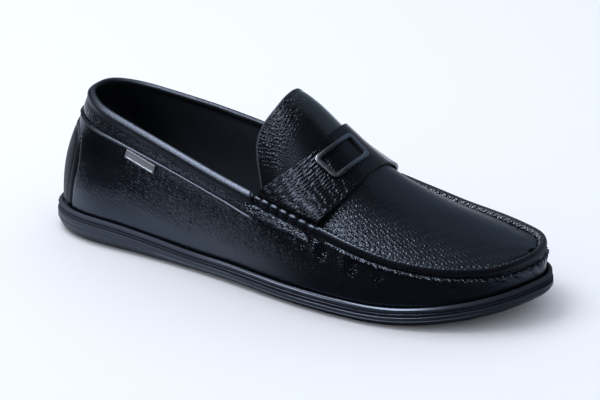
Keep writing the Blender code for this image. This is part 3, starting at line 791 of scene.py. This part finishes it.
def makeUpper():
    below, above, foldDepth = upper["below"], upper["above"], upper["foldDepth"]
    back = np.linspace(0, upper["strapRow"], upper["backColumns"])
    front = np.linspace(upper["strapRow"], toeRow, upper["toeColumns"])[1:]
    s = placesRound(np.concatenate([back, front]))
    row, length = sectionOf(s), wallLength(s)
    guide = seamDepth(row)
    fold = np.array(upper["fold"]) * mm
    levels = [guide + (length - guide) * (k / below) ** 2 for k in range(below, 0, -1)]
    levels += [guide - (guide - foldDepth) * (k / above) ** 1.2 for k in range(above + 1)]
    flat = len(levels)
    for k in range(len(fold)):
        levels.append(np.full(len(s), foldDepth - (foldDepth + upper["tuck"]) * (k + 1) / len(fold)))
    depth = np.stack(levels)
    _, out, up = seamAxes(s)
    edge = topEdge(s)
    folded = 1 - easeIn(row, last["seamStart"] - 0.10, last["seamStart"] + 0.04)

    def place(i, j):
        d = depth[j, i]
        wall = onWall(s[i], 1 - d / length[i], wallLift(s[i], d, row[i]))
        a, b = fold[np.clip(j - flat, 0, len(fold) - 1)].T
        over = edge[i] + out[i] * a[:, None] + up[i] * b[:, None]
        share = (folded[i] * (j >= flat))[:, None]
        return wall * (1 - share) + over * share

    rise = 1 - depth / length
    heelBelow, heelAbove = upper["plainHeel"]
    heel = np.where(depth > guide, 1 - easeIn(row, *heelBelow), 1 - easeIn(row, *heelAbove))
    toe = easeIn(row, *upper["plainToe"])
    rim = easeIn(depth, *upper["rim"]) * folded
    strip = stripInside(np.tile(s, len(levels)), rise.ravel()).reshape(rise.shape)
    share = upper["plain"]
    low = 1 - easeIn(rise, *upper["plainLow"])
    plain = np.maximum(share["low"] * low, share["toe"] * toe + share["heel"] * heel)
    plain = np.maximum(np.maximum(plain, bell(strip, 3)), share["rim"] * rim)
    creased = creaseShape(s, depth)[1]
    rows, depths = upper["underRidge"]
    under = easeIn(row, *rows) * easeIn(depth, *depths) * (1.5 - gathers(s))
    share = upper["dull"]
    dull = np.maximum(np.maximum(share["rim"] * rim, share["under"] * under), share["toe"] * toe)
    return layGrid("upper_shell", len(s), len(levels), place, thickness=upper["thickness"],
                   plain=plain * (1 - creased) - creased, dull=dull)


finishPiece(makeUpper(), leathers["quarter"], "leather", "upper")
print("upper done")


# Lining inside the wall
lining = {"inside": 1.45 * mm, "thickness": 0.7 * mm, "columns": 260, "levels": 14, "rise": (0.02, 1.03)}


def makeLining():
    s = placesRound(np.linspace(0, toeRow, lining["columns"] // 2 + 1))
    v = np.linspace(*lining["rise"], lining["levels"])

    def place(i, j):
        return onWall(s[i], v[j], np.full(len(i), -lining["inside"]))

    return layGrid("lining", len(s), len(v), place, thickness=lining["thickness"])


finishPiece(makeLining(), leathers["lining"], "lining")


# Folded top edge of the quarter along the seam, turned up at its front end
quarterEdge = {"thin": 0.5 * mm, "wide": 1.0 * mm, "facing": 52, "pitch": 0.6 * mm, "lift": 0.45 * mm,
               "rows": (0.0, 6.93), "ripple": 0.05, "rippleLength": 0.38 * mm}


def makeQuarterEdge(name, medial):
    q = quarterEdge
    start, end = (placeOf(row, medial) for row in q["rows"])
    s = np.linspace(start, end, int(abs(end - start) / q["pitch"]))
    row = sectionOf(s)
    rise = 1 - seamDepth(row) / wallLength(s)
    centre = onWall(s, rise, np.full(len(s), q["lift"]))
    out = (onWall(s, rise, np.full(len(s), q["lift"] + 1 * mm)) - centre) / mm
    up = np.cross(out, unit(np.gradient(centre, axis=0)))
    up *= np.sign(up[:, 2:])
    taper = endTaper(len(s))
    c, d = math.cos(math.radians(q["facing"])), math.sin(math.radians(q["facing"]))

    def section(i, turn):
        r = taper[i] * (1 + q["ripple"] * np.sin(s[i] / q["rippleLength"]) * easeIn(row[i], 1.5, 3.0))
        a, b = q["thin"] * np.cos(turn) * r, q["wide"] * np.sin(turn) * r
        return a * c - b * d, a * d + b * c

    return tube(name, centre, out, up, section, sides=10)


for name, medial in (("quarter_edge_outer", False), ("quarter_edge_inner", True)):
    finishPiece(makeQuarterEdge(name, medial), leathers["roll"], "leather")


# Collar binding and toe ridge
binding = {
    "columns": 420,
    "sides": 26,
    # outwards and up in mm: the lining's roll behind the folded leather
    "section": [
        (1.70, -0.60), (1.50, 0.20), (0.95, 0.75), (0.30, 1.25), (-0.40, 1.70), (-1.10, 1.75), (-1.80, 1.25),
        (-2.20, 0.40), (-2.15, -0.80), (-1.40, -1.95), (-0.20, -2.30), (0.90, -2.10), (1.50, -1.50),
    ],
}
ridge = {
    "columns": 1100,
    "sides": 39,
    "whipEnd": 8.52,  # section where the whip stitches over the strap stop
    "whipPitch": 6.35 * mm,
    "whipStart": 5.3 * mm,
    "whipDip": 0.5,  # share of its size lost between two stitches
    "whip": [
        (2.45, -0.40), (2.38, 0.55), (2.00, 1.40), (1.20, 2.05), (0.20, 2.30), (-0.90, 2.20), (-1.75, 1.60),
        (-2.25, 0.55), (-2.20, -0.75), (-1.40, -1.90), (-0.20, -2.30), (1.20, -2.20), (2.10, -1.50),
    ],
    "pleatPitch": 2.3 * mm,
    "pleat": 0.26 * mm,
    "pleated": ((1.8, 3.4), (6.6, 7.6)),  # corners of the section between which the near side is pleated
    "farPleated": ((5.0, 5.8), (7.0, 7.8)),
    "farRise": 0.22,  # how much taller it stands on the inner side of the shoe
    "farDull": 1.5,
    # outwards and up in mm: steep outer face, narrow top, inner face sloping to the apron
    "section": [
        (1.90, -0.3), (1.75, 0.7), (1.25, 1.7), (0.55, 2.4), (-0.20, 2.5), (-0.95, 2.0), (-1.80, 1.15),
        (-2.60, 0.35), (-2.80, -0.6), (-2.00, -1.7), (-0.60, -2.3), (0.80, -2.2), (1.65, -1.4),
    ],
}


def makeBinding():
    rows = np.linspace(0, last["seamStart"] + 0.02, binding["columns"] // 2)
    s = np.concatenate([placeOf(rows[::-1], medial=True)[:-1], [girth], placeOf(rows[1:]) + girth])
    taper = endTaper(len(s))

    def section(i, turn):
        a, b = throughCorners(binding["section"], turn)
        r = taper[i] * (1 + 0.02 * drift(s[i] / (5 * mm), 1.5 * turn, 0.3))
        return a * r, b * r

    _, out, up = seamAxes(s)
    return tube("collar_roll", topEdge(s), out, up, section, binding["sides"])


def makeRidge():
    s = placesRound(np.linspace(last["seamStart"], toeRow, ridge["columns"] // 2))
    row, centre = sectionOf(s), topEdge(s)
    run = runLength(centre)
    taper = endTaper(len(s), 8)
    whip = 1 - easeIn(row, ridge["whipEnd"] - 0.05, ridge["whipEnd"])
    edge = np.minimum(run, run[-1] - run)
    bulge = np.abs(np.sin(math.pi * (edge - ridge["whipStart"]) / ridge["whipPitch"])) ** 0.42
    bulge *= 0.4 + 0.6 * (edge > ridge["whipStart"])
    far = easeIn(s, placeOf(toeRow - 2), placeOf(toeRow - 1.5, True))
    count = len(ridge["section"])

    def between(q, limits):
        return easeIn(q, *limits[0]) * (1 - easeIn(q, *limits[1]))

    def section(i, turn):
        q = turn / (2 * math.pi) * count
        a, b = throughCorners(ridge["section"], turn)
        inner = (1 - far[i]) * between(q, ridge["pleated"]) + far[i] * between(q, ridge["farPleated"])
        turns = 2 * math.pi * run[i] / ridge["pleatPitch"]
        uneven = np.sin(turns + 2.6 * q) + 0.8 * np.sin(1.63 * turns - 1.9 * q)
        uneven = uneven + 0.7 * np.sin(0.61 * turns + 1.1 * q)
        pleat = ridge["pleat"] * (1 + 0.5 * far[i]) * inner * uneven / 1.6
        wave = 1 + 0.025 * drift(run[i] / (8 * mm), turn, 0.2)
        a, b = a * wave - 0.6 * pleat, b * wave * (1 + ridge["farRise"] * far[i] * (b > 0)) + 0.8 * pleat
        across, rise = throughCorners(ridge["whip"], turn)
        r = (1 - ridge["whipDip"] * (1 - bulge[i])) * whip[i]
        return taper[i] * (a * (1 - whip[i]) + across * r), taper[i] * (b * (1 - whip[i]) + rise * r)

    inner = between(np.arange(ridge["sides"] + 1) / ridge["sides"] * count, ridge["farPleated"])
    _, out, up = seamAxes(s)
    return tube("toe_roll", centre, out, up, section, ridge["sides"],
                shine=np.outer(inner, far), dull=np.outer(ridge["farDull"] * (1 - inner), far))


finishPiece(makeBinding(), leathers["trim"], "leather", "collar_binding")
finishPiece(makeRidge(), leathers["roll"], "leather", "moc_ridge")
print("rolled edges done")


# Apron, tongue and strap over the instep: along at the crest and at the seam, power, belly
tongueBack = (0.4885, 0.511, 4.5, 0.0175)
strapBack = (0.578, 0.502, 3.2, 0)
strapFront = (0.655, 0.632, 3, 0)
apron = {
    "columns": 300, "levels": 150, "thickness": 1.6 * mm, "under": 0.030, "edgeRoll": 0.5 * mm,
    "pleat": 0.16 * mm, "wave": 0.12 * mm,
    "coarse": ((-0.7, -0.3), (0.15, 0.45)),  # across and along: where the grain is bold beside the strap
    "plain": (-0.65, 0.15), "dull": (-0.3, 0.3),
}
tongue = {
    "columns": 140, "levels": 120, "thickness": 2.0 * mm, "round": 0.45 * mm, "under": 0.025, "least": 0.02,
    "edgeRadius": 1.0 * mm, "crease": 0.12 * mm, "wave": 0.1 * mm,
    # it stands fuller towards its back edge
    "crest": 0.4 * mm, "shoulder": 1.0 * mm, "raised": (0.50, 0.60),
    # across, or inside its back edge: where it is pulled smooth, dull and shining
    "plainInside": (9 * mm, 20 * mm), "plainAside": (0.62, 0.85),
    "dullInside": (8 * mm, 17 * mm), "flank": (-0.25, 0.1), "shine": ((-0.40, 0.05), (0.75, 0.95)),
    "edgeColumns": 320, "edgeSides": 12, "edgeHeight": 1.15,
}
strap = {
    "columns": 190, "levels": 44, "thickness": 1.7 * mm, "round": 0.5 * mm, "lift": 2.3 * mm,
    "reach": 0.998, "wave": 0.12 * mm, "full": 2.8 * mm, "tuck": 0.6 * mm,
    "tuckEnds": (0.968, 0.998), "fullEnds": (0.6, 0.96),
    "brick": 0.3,  # how far each row of grain is set off from the last
    "plain": (-0.42, -0.15),
}


def edgeAcross(edge, side):
    crest, seam, power, belly = edge
    reach = np.abs(side)
    belly = belly * np.where(side < 0, 1, 0.4)  # less of it on the inner side
    return crest + (seam - crest) * reach**power - belly * np.sin(math.pi * reach**1.7) ** 2


def halfWidth(row):
    sides = [topEdge(placeOf(row, medial))[:, 1] for medial in (False, True)]
    return np.abs(sides[1] - sides[0]) / 2


def makeApron():
    rows = np.linspace(0, 1, apron["columns"])
    sides = np.sin(np.linspace(-1, 1, apron["levels"]) * math.pi / 2)

    def place(i, j):
        side = sides[j]
        first = rowAlong(edgeAcross(strapFront, side) - apron["under"])
        row = np.minimum(first + (toeRow - first) * rows[i], toeRow - 0.05)
        inside = (1 - np.abs(side)) * halfWidth(row) / mm
        s = np.where(side < 0, placeOf(row), placeOf(row, True))
        pleat = apron["pleat"] * puckers(s, row) * bell(inside - 1.5, 2.0)
        rolled = -apron["edgeRoll"] * np.where(side < 0, 1, 0.3) * bell(inside)
        return onPlug(row, side, pleat + rolled + apron["wave"] * drift(row * 2.2, side * 3, 0.4))

    across, along = apron["coarse"]
    coarse = np.outer(1 - easeIn(sides, *across), 1 - easeIn(rows, *along))
    plain = 0.7 * easeIn(sides, *apron["plain"])[:, None] - 0.6 * coarse
    dull = 0.3 * easeIn(sides, *apron["dull"])[:, None]
    return layGrid("apron", len(rows), len(sides), place, thickness=apron["thickness"],
                   plain=plain, dull=dull)


def tongueRise(along, side):
    full = tongue["crest"] * bell(side - 0.05, 0.5) + tongue["shoulder"] * bell(np.abs(side) - 0.4, 0.25)
    return full * (1 - easeIn(along, *tongue["raised"]))


def makeTongue():
    t = np.linspace(0, 1, tongue["columns"]) ** 1.5
    sides = np.linspace(-1, 1, tongue["levels"])

    def place(i, j):
        side = sides[j]
        first = edgeAcross(tongueBack, side)
        far = edgeAcross(strapBack, side) + tongue["under"]
        along = first + np.maximum(far - first, tongue["least"]) * t[i]
        edge = (along - first) * last["length"] / mm
        crease = -tongue["crease"] * bell(edge - 2.2, 0.5)
        wave = tongue["wave"] * drift(along * 40, side * 3, 0.9)
        return onPlug(rowAlong(along), side, tongueRise(along, side) + crease + wave)

    edge = (edgeAcross(strapBack, sides) + tongue["under"] - edgeAcross(tongueBack, sides)) * last["length"]
    inside = np.outer(np.maximum(edge, tongue["least"] * last["length"]), t)
    flank = 1 - easeIn(sides, *tongue["flank"])
    comes, goes = tongue["shine"]
    crest = easeIn(sides, *comes) * (1 - easeIn(sides, *goes))
    aside = easeIn(np.abs(sides), *tongue["plainAside"])[:, None]
    plain = 0.9 * np.maximum(easeIn(inside, *tongue["plainInside"]), aside)
    dull = 0.35 * easeIn(inside, *tongue["dullInside"]) * flank[:, None]
    return layGrid("tongue", len(t), len(sides), place, thickness=tongue["thickness"],
                   round=tongue["round"], plain=plain, dull=dull, shine=0.85 * crest[:, None])


def evenSides(first, far, reach, count):
    # sides spaced evenly by length along the middle of a band
    sides = np.linspace(-reach, reach, 1201)
    length = runLength(plugPoint(rowAlong((edgeAcross(first, sides) + edgeAcross(far, sides)) / 2), sides))
    return np.interp(np.linspace(0, length[-1], count), length, sides)


def makeStrap():
    sides = evenSides(strapBack, strapFront, strap["reach"], strap["columns"])
    t = np.linspace(0, 1, strap["levels"])

    def place(i, j):
        side = sides[i]
        first, far = edgeAcross(strapBack, side), edgeAcross(strapFront, side)
        wave = strap["wave"] * drift(side * 6, t[j] * 3, 1.2)
        tuck = -(strap["tuck"] + strap["full"]) * easeIn(np.abs(side), *strap["tuckEnds"])
        full = strap["full"] * easeIn(np.abs(side), *strap["fullEnds"])
        return onPlug(rowAlong(first + (far - first) * t[j]), side, strap["lift"] + wave + tuck + full)

    def spread(points):
        across = np.outer(t - 0.5, np.linalg.norm(points[-1] - points[0], axis=1))
        along = runLength(points[len(t) // 2])
        return np.stack([along + strap["brick"] * across, across], axis=2).reshape(-1, 2)

    plain = 0.85 * easeIn(sides, *strap["plain"])  # pulled smooth over the top
    return layGrid("strap_band", len(sides), len(t), place, thickness=strap["thickness"],
                   round=strap["round"], spread=spread, plain=plain)


def makeTongueEdge():
    sides = np.linspace(-0.998, 0.998, tongue["edgeColumns"])
    along = edgeAcross(tongueBack, sides)
    rise = tongueRise(along, sides)
    inside = onPlug(rowAlong(along), sides, rise - tongue["thickness"])
    centre = (onPlug(rowAlong(along), sides, rise) + inside) / 2
    up = unit(centre - inside)
    out = unit(np.cross(up, unit(np.gradient(centre, axis=0))))

    def section(i, turn):
        radius = tongue["edgeRadius"]
        return radius * np.cos(turn), tongue["edgeHeight"] * radius * np.sin(turn)

    return tube("tongue_edge", centre, out, up, section, tongue["edgeSides"])


finishPiece(makeTongueEdge(), leathers["cutEdge"], "leather")
finishPiece(makeApron(), leathers["apron"], "leather", "plug_tongue")
finishPiece(makeTongue(), leathers["tongue"], "leather", "plug_tongue")
finishPiece(makeStrap(), leathers["strap"], "leather", "strap")
print("apron, tongue and strap done")


# Strap ends under the ridge, and the strip up the heel
strapEnd = {
    "rows": (6.63, 8.24), "rise": (0.83, 0.972), "columns": 150,
    "blunt": (0.93, 0.07),  # where its ends start to round off, and over how much of half its length
    # share of its height, lift in mm: a wedge that stands out at its lower edge
    "section": [(0.0, -0.3), (0.0, 2.2), (0.02, 3.0), (0.08, 3.35), (0.16, 3.4), (0.3, 3.05), (0.45, 2.6),
                (0.6, 2.15), (0.75, 1.7), (0.88, 1.3), (0.96, 1.0), (1.0, 0.5), (1.0, -0.3)],
}


def makeStrapEnd(name, medial):
    t = np.linspace(-1, 1, strapEnd["columns"])
    shares, lifts = np.transpose(strapEnd["section"])
    low, high = strapEnd["rise"]
    start, length = strapEnd["blunt"]

    def place(i, j):
        row = np.interp(t[i], (-1, 1), strapEnd["rows"])
        end = np.clip((np.abs(t[i]) - start) / length, 0, 1)
        round = np.sqrt(1 - end**2)
        rise = (low + high) / 2 + (high - low) * (shares[j] - 0.5) * round
        return onWall(placeOf(row, medial), rise, lifts[j] * (0.4 + 0.6 * round) * mm)

    return layGrid(name, len(t), len(shares), place)


def makeHeelStrip():
    h = heelStrip
    side = np.sin(np.linspace(-1, 1, h["columns"]) * math.pi / 2)
    low, high = h["edge"][0][0], h["edge"][-1][0]
    rise = np.interp(np.linspace(0, 1, h["levels"]), (0, 0.9, 1), (low, high - 0.05, high))

    def place(i, j):
        s = side[i] * stripHalf(rise[j]) * mm
        inside = stripInside(s, rise[j])
        round = np.sqrt(np.clip(1 - (1 - np.clip(inside / h["edgeRadius"], 0, 1)) ** 2, 0, 1))
        groove = h["groove"] * bell(inside - h["stitch"], 0.7)
        return onWall(s % girth, rise[j], h["lift"] - h["edgeDrop"] * (1 - round) - groove)

    return layGrid("heel_strip_padded", len(side), len(rise), place, thickness=h["thickness"])


finishPiece(makeStrapEnd("strap_end_outer", False), leathers["strapEnd"], "leather", "strap_end_lateral")
finishPiece(makeStrapEnd("strap_end_inner", True), leathers["strapEnd"], "leather", "strap_end_medial")
finishPiece(makeHeelStrip(), leathers["heelStrip"], "leather", "heel_strip")
print("overlays done")


# Thread
thread = {
    "apron": {"pitch": 2.3 * mm, "size": (1.9 * mm, 1.3 * mm, 0.8 * mm), "inside": 2.75 * mm,
              "rise": 0.75 * mm, "slant": 0.3},
    "lower": {"pitch": 2.0 * mm, "size": (2.5 * mm, 1.4 * mm, 1.0 * mm), "depth": 1.8 * mm,
              "lift": 0.25 * mm, "row": ridge["whipEnd"] + 0.1, "lean": 1.0,
              # how far the stitches stray along, down and round, and their sizes
              "stray": (0.6 * mm, 0.7 * mm, 0.9), "scales": (0.4, 1.0)},
    "seam": {"pitch": 2.4 * mm, "size": (1.7 * mm, 0.6 * mm, 0.5 * mm), "below": 1.2 * mm,
             "lift": 0.15 * mm, "rows": (0.55, 6.7)},
    "twist": 0.45 * mm,
}


def makeThread():
    # waxed thread with a fine twist
    material, tree, shader = newMaterial("thread", (0.010, 0.011, 0.014), 0.2, specular=1.0)
    place = addNode(tree, "TexCoord").outputs["Object"]
    twist = addNode(tree, "TexWave", {"bands_direction": "DIAGONAL"}, Scale=1 / thread["twist"] / 6,
                    Distortion=1.5, Detail=1.0, Vector=place).outputs["Fac"]
    addBump(tree, shader, twist, 0.04 * mm, 0.6)
    feed(tree, shader.inputs["Roughness"], ramp(tree, twist, 0.30, 0.16))
    return material


def makeApronStitches():
    # small threads where the ridge's inner face meets the apron
    t = thread["apron"]
    s = np.arange(placeOf(ridge["whipEnd"]), placeOf(ridge["whipEnd"], True), t["pitch"])
    along, out, up = seamAxes(s)
    spots = topEdge(s) - out * t["inside"] + up * t["rise"]
    return stitchRow("apron_stitches", spots, along - out * t["slant"], 0.81 * up + 0.57 * out, t["size"])


def wallStitches(name, s, depth, lift, size, tilt=0.0, lean=0.0, scales=1.0):
    length, row = wallLength(s), sectionOf(s)

    def at(ds, dd, extra):
        d = depth + dd
        return onWall(s + ds, 1 - d / length, wallLift(s, d, row) + extra)

    step = 0.2 * mm
    spots = at(0, 0, lift)
    along = at(step, step * tilt, lift) - at(-step, -step * tilt, lift)
    up = at(0, 0, lift + 1 * mm) - spots + np.array([0, 0, lean * mm])
    return stitchRow(name, spots, along, up, size, scales)


def makeLowerStitches():
    t = thread["lower"]
    s = np.arange(placeOf(t["row"]), placeOf(t["row"], True), t["pitch"])
    chance = np.random.default_rng(4)
    along, down, round = t["stray"]
    s = s + chance.uniform(-along, along, len(s))
    depth = t["depth"] + chance.uniform(-down, down, len(s))
    tilt, scales = chance.uniform(-round, round, len(s)), chance.uniform(*t["scales"], len(s))
    return wallStitches("lower_stitches", s, depth, t["lift"], t["size"], tilt, t["lean"], scales)


def makeSeamStitches():
    t = thread["seam"]
    places = []
    for medial in (False, True):
        ends = [placeOf(row, medial) for row in t["rows"]]
        places.append(np.arange(min(ends), max(ends), t["pitch"]))
    s = np.concatenate(places)
    return wallStitches("quarter_stitches", s, seamDepth(sectionOf(s)) + t["below"], t["lift"], t["size"])


threadMaterial = makeThread()
for stitches in (makeApronStitches(), makeLowerStitches(), makeSeamStitches()):
    finishPiece(stitches, threadMaterial, "leather")
print("stitches done")


# Metal trim
metalFrame = {
    "length": 17 * mm, "height": 30 * mm, "thickness": 1.5 * mm, "corner": 3.4 * mm, "least": 0.8 * mm,
    "round": 0.3 * mm, "station": 0.612, "side": -0.12, "turn": 0.0, "seat": 2.4 * mm, "bar": 2.6 * mm,
}
sideTag = {
    "length": 21.5 * mm, "height": 5.2 * mm, "thickness": 0.8 * mm, "corner": 0.7 * mm, "least": 0,
    "round": 0.3 * mm, "row": 3.71, "rise": 0.775, "turn": -0.07, "seat": 0.35 * mm,
    "border": 0.9 * mm, "sunk": 0.2 * mm, "slope": 0.1 * mm,
}


def roundedOutline(length, height, corner, steps=8, sideSteps=14):
    points = []
    for quarter in range(4):
        x = (length / 2 - corner) * (1 if quarter in (0, 3) else -1)
        y = (height / 2 - corner) * (1 if quarter in (0, 1) else -1)
        turn = (quarter + np.linspace(0, 1, steps + 1)) * math.pi / 2
        points.append(np.column_stack([x + corner * np.cos(turn), y + corner * np.sin(turn)]))
    joined = []
    for bend, following in zip(points, points[1:] + points[:1]):
        share = np.arange(1, sideSteps)[:, None] / sideSteps
        joined += [bend, bend[-1] + (following[0] - bend[-1]) * share]
    return np.vstack(joined + [points[0][:1]])


def layFlat(surface, spot, turn, steps, points):
    # places of a flat outline laid on a surface at true size, turned about the spot
    u, v = (np.array([value], float) for value in spot)
    stepU, stepV = steps
    du = ((surface(u + stepU, v) - surface(u - stepU, v)) / (2 * stepU))[0]
    dv = ((surface(u, v + stepV) - surface(u, v - stepV)) / (2 * stepV))[0]
    first = du / np.linalg.norm(du)
    second = dv - first * np.dot(dv, first)
    second /= np.linalg.norm(second)
    along = first * math.cos(turn) + second * math.sin(turn)
    across = second * math.cos(turn) - first * math.sin(turn)
    slopes = np.linalg.inv(np.array([[du @ along, dv @ along], [du @ across, dv @ across]]))
    base, at = surface(u, v)[0], np.tile([u[0], v[0]], (len(points), 1))
    for _ in range(12):
        gap = surface(*at.T) - base
        at += (points - np.column_stack([gap @ along, gap @ across])) @ slopes.T
    return at.T


def layPlate(name, plate, surface, lift, spot, steps, section):
    # section gives the inset from the rim and the rise of each ring
    rings = []
    for inset, rise in section:
        corner = max(plate["corner"] - inset, plate["least"])
        rim = roundedOutline(plate["length"] - 2 * inset, plate["height"] - 2 * inset, corner)
        rings.append(lift(*layFlat(surface, spot, plate["turn"], steps, rim), plate["seat"] + rise))
    return layRings(name, rings)


def makeMetalFrame():
    f = metalFrame
    top, bar, round = f["thickness"], f["bar"], f["round"]
    bevel = 0.3 * round
    section = [(0, 0), (0, top - round), (bevel, top - bevel), (round, top),
               (bar - round, top), (bar - bevel, top - bevel), (bar, top - round), (bar, 0), (0, 0)]
    spot = (rowAlong(f["station"]), f["side"])
    return layPlate("strap_frame", f, plugPoint, onPlug, spot, (0.01, 0.001), section)


def makeSideTag():
    t = sideTag
    top, border, round, middle = t["thickness"], t["border"], t["round"], t["height"] / 2
    bevel = 0.3 * round
    section = [(middle, 0), (0, 0), (0, top - round), (bevel, top - bevel), (round, top),
               (border, top), (border + t["slope"], top - t["sunk"]), (middle, top - t["sunk"])]
    spot = (placeOf(t["row"]), t["rise"])
    return layPlate("side_tag_plate", t, wallPoint, onWall, spot, (0.01 * mm, 0.001), section)


def makeMetal(name, colour, roughness):
    material, tree, shader = newMaterial(name, colour, roughness, metallic=1.0, tint=(1, 1, 1))
    place = addNode(tree, "TexCoord").outputs["Object"]
    brushed = addNode(tree, "TexNoise", Scale=900.0, Detail=2.0, Vector=place)
    gloss = ramp(tree, brushed.outputs["Fac"], roughness - 0.08, roughness + 0.12)
    feed(tree, shader.inputs["Roughness"], gloss)
    return material


gunmetal = makeMetal("gunmetal", (0.19, 0.21, 0.25), 0.32)
satinSilver = makeMetal("satinSilver", (0.46, 0.49, 0.54), 0.54)
finishPiece(makeMetalFrame(), gunmetal, "gunmetal", "ornament", angle=35)
finishPiece(makeSideTag(), satinSilver, "silver", "side_tag", angle=35)
print("metal trim done")


# Floor, light and camera
stage = {
    "floor": 6.4,
    "floorColour": (0.86, 0.88, 0.93),
    "mirrored": 0.03,  # how much of the floor shows in the gloss in front of the shoe
    "near": (-0.14, -0.01, 0.20, 0.073),  # centre and half sizes of the floor that shows beside the heel
    "behind": (-0.06, 0.06),  # across, where the floor behind the shoe starts to show
    "mirrorTint": (0.92, 0.96, 1.0),
    "world": (0.68, 0.70, 0.74),
}
view = {
    "azimuth": 31.203, "elevation": 23.2, "roll": -0.861, "distance": 1.6018,
    "target": (151.7 * mm, 0, 35.5 * mm), "lens": 176.742, "shift": (-0.0025, 0.0033),
}
lights = [  # name, place, aim, size, power, colour, lights the floor, shows in gloss
    ("softbox", (-0.56, -0.10, 1.26), (0, 0, 0.02), (0.8, 0.8), 9.0, (0.97, 0.98, 1), True, False),
    ("overheadStrip", (-0.33, -0.26, 1.24), (-0.1, -0.05, 0), (0.95, 0.50), 27, (0.95, 0.97, 1), False, True),
    ("frontStrip", (-0.62, -0.52, 0.82), (0, -0.03, 0.05), (0.5, 0.3), 5.0, (0.95, 0.97, 1), False, True),
    ("backdropGlow", (-0.6, 2.4, 1.45), (0, 0, 0.4), (5.0, 3.0), 16.0, (0.60, 0.78, 1), True, True),
]


def makeFloorMaterial():
    colour = stage["floorColour"]
    material, tree, shader = newMaterial("paleFloor", colour, 0.8, specular=0.2)
    place = addNode(tree, "TexCoord").outputs["Object"]
    x, y, halfX, halfY = stage["near"]
    mapping = addNode(tree, "Mapping", {"vector_type": "TEXTURE"}, Vector=place,
                      Location=(x, y, 0), Scale=(halfX, halfY, 1))
    reach = addNode(tree, "VectorMath", {"operation": "LENGTH"}, Vector=mapping.outputs[0]).outputs["Value"]
    near = ramp(tree, reach, 1.0, 0.0, 0.7, 1.1, shape="SMOOTHSTEP")
    across = addNode(tree, "SeparateXYZ", Vector=place).outputs["Y"]
    behind = ramp(tree, across, 0.0, 1.0, *stage["behind"], shape="SMOOTHSTEP")
    # painted reflection: glossy rays see the floor darkened and tinted blue, except beside the heel and
    # behind the shoe, so the leather mirrors painted shade in front
    tinted = [c * t for c, t in zip(colour, stage["mirrorTint"])]
    most = calculate(tree, "MAXIMUM", near, behind)
    mirrored = mixColour(tree, most, shaded(tinted, stage["mirrored"]), tinted)
    path = addNode(tree, "LightPath").outputs["Is Glossy Ray"]
    feed(tree, shader.inputs["Base Color"], mixColour(tree, path, colour, mirrored))
    return material


def makeStage():
    bpy.ops.object.select_all(action="DESELECT")
    bpy.ops.mesh.primitive_circle_add(vertices=96, radius=stage["floor"], fill_type="NGON")
    floor = bpy.context.object
    floor.name = "floor"
    if floor.data.polygons[0].normal.z < 0:
        floor.data.flip_normals()
    floor.data.materials.append(makeFloorMaterial())
    world = bpy.data.worlds.new("studio")
    world.use_nodes = True
    world.node_tree.nodes["Background"].inputs["Color"].default_value = (*stage["world"], 1)
    world.cycles_visibility.glossy = False
    bpy.context.scene.world = world
    for name, place, aim, size, power, colour, diffuse, glossy in lights:
        bpy.ops.object.light_add(type="AREA", location=place)
        lamp = bpy.context.object
        lamp.name = name
        lamp.rotation_euler = (Vector(aim) - Vector(place)).to_track_quat("-Z", "Y").to_euler()
        lamp.data.shape = "RECTANGLE"
        lamp.data.size, lamp.data.size_y = size
        lamp.data.energy = power
        lamp.data.color = colour
        lamp.visible_diffuse, lamp.visible_glossy = diffuse, glossy


def makeCamera():
    a, e, r = (math.radians(view[key]) for key in ("azimuth", "elevation", "roll"))
    back = Vector((math.sin(a) * math.cos(e), -math.cos(a) * math.cos(e), math.sin(e)))
    right = Vector((math.cos(a), math.sin(a), 0))
    up = back.cross(right)
    turnedRight = right * math.cos(r) + up * math.sin(r)
    turnedUp = up * math.cos(r) - right * math.sin(r)
    bpy.ops.object.camera_add()
    camera = bpy.context.object
    camera.matrix_world = Matrix((turnedRight, turnedUp, back)).transposed().to_4x4()
    camera.location = Vector(view["target"]) - Vector(origin) + back * view["distance"]
    camera.data.sensor_width = 36
    camera.data.lens = view["lens"]
    camera.data.shift_x, camera.data.shift_y = view["shift"]
    bpy.context.scene.camera = camera


makeStage()
makeCamera()
bpy.context.scene.view_settings.view_transform = "Standard"
print("stage done")
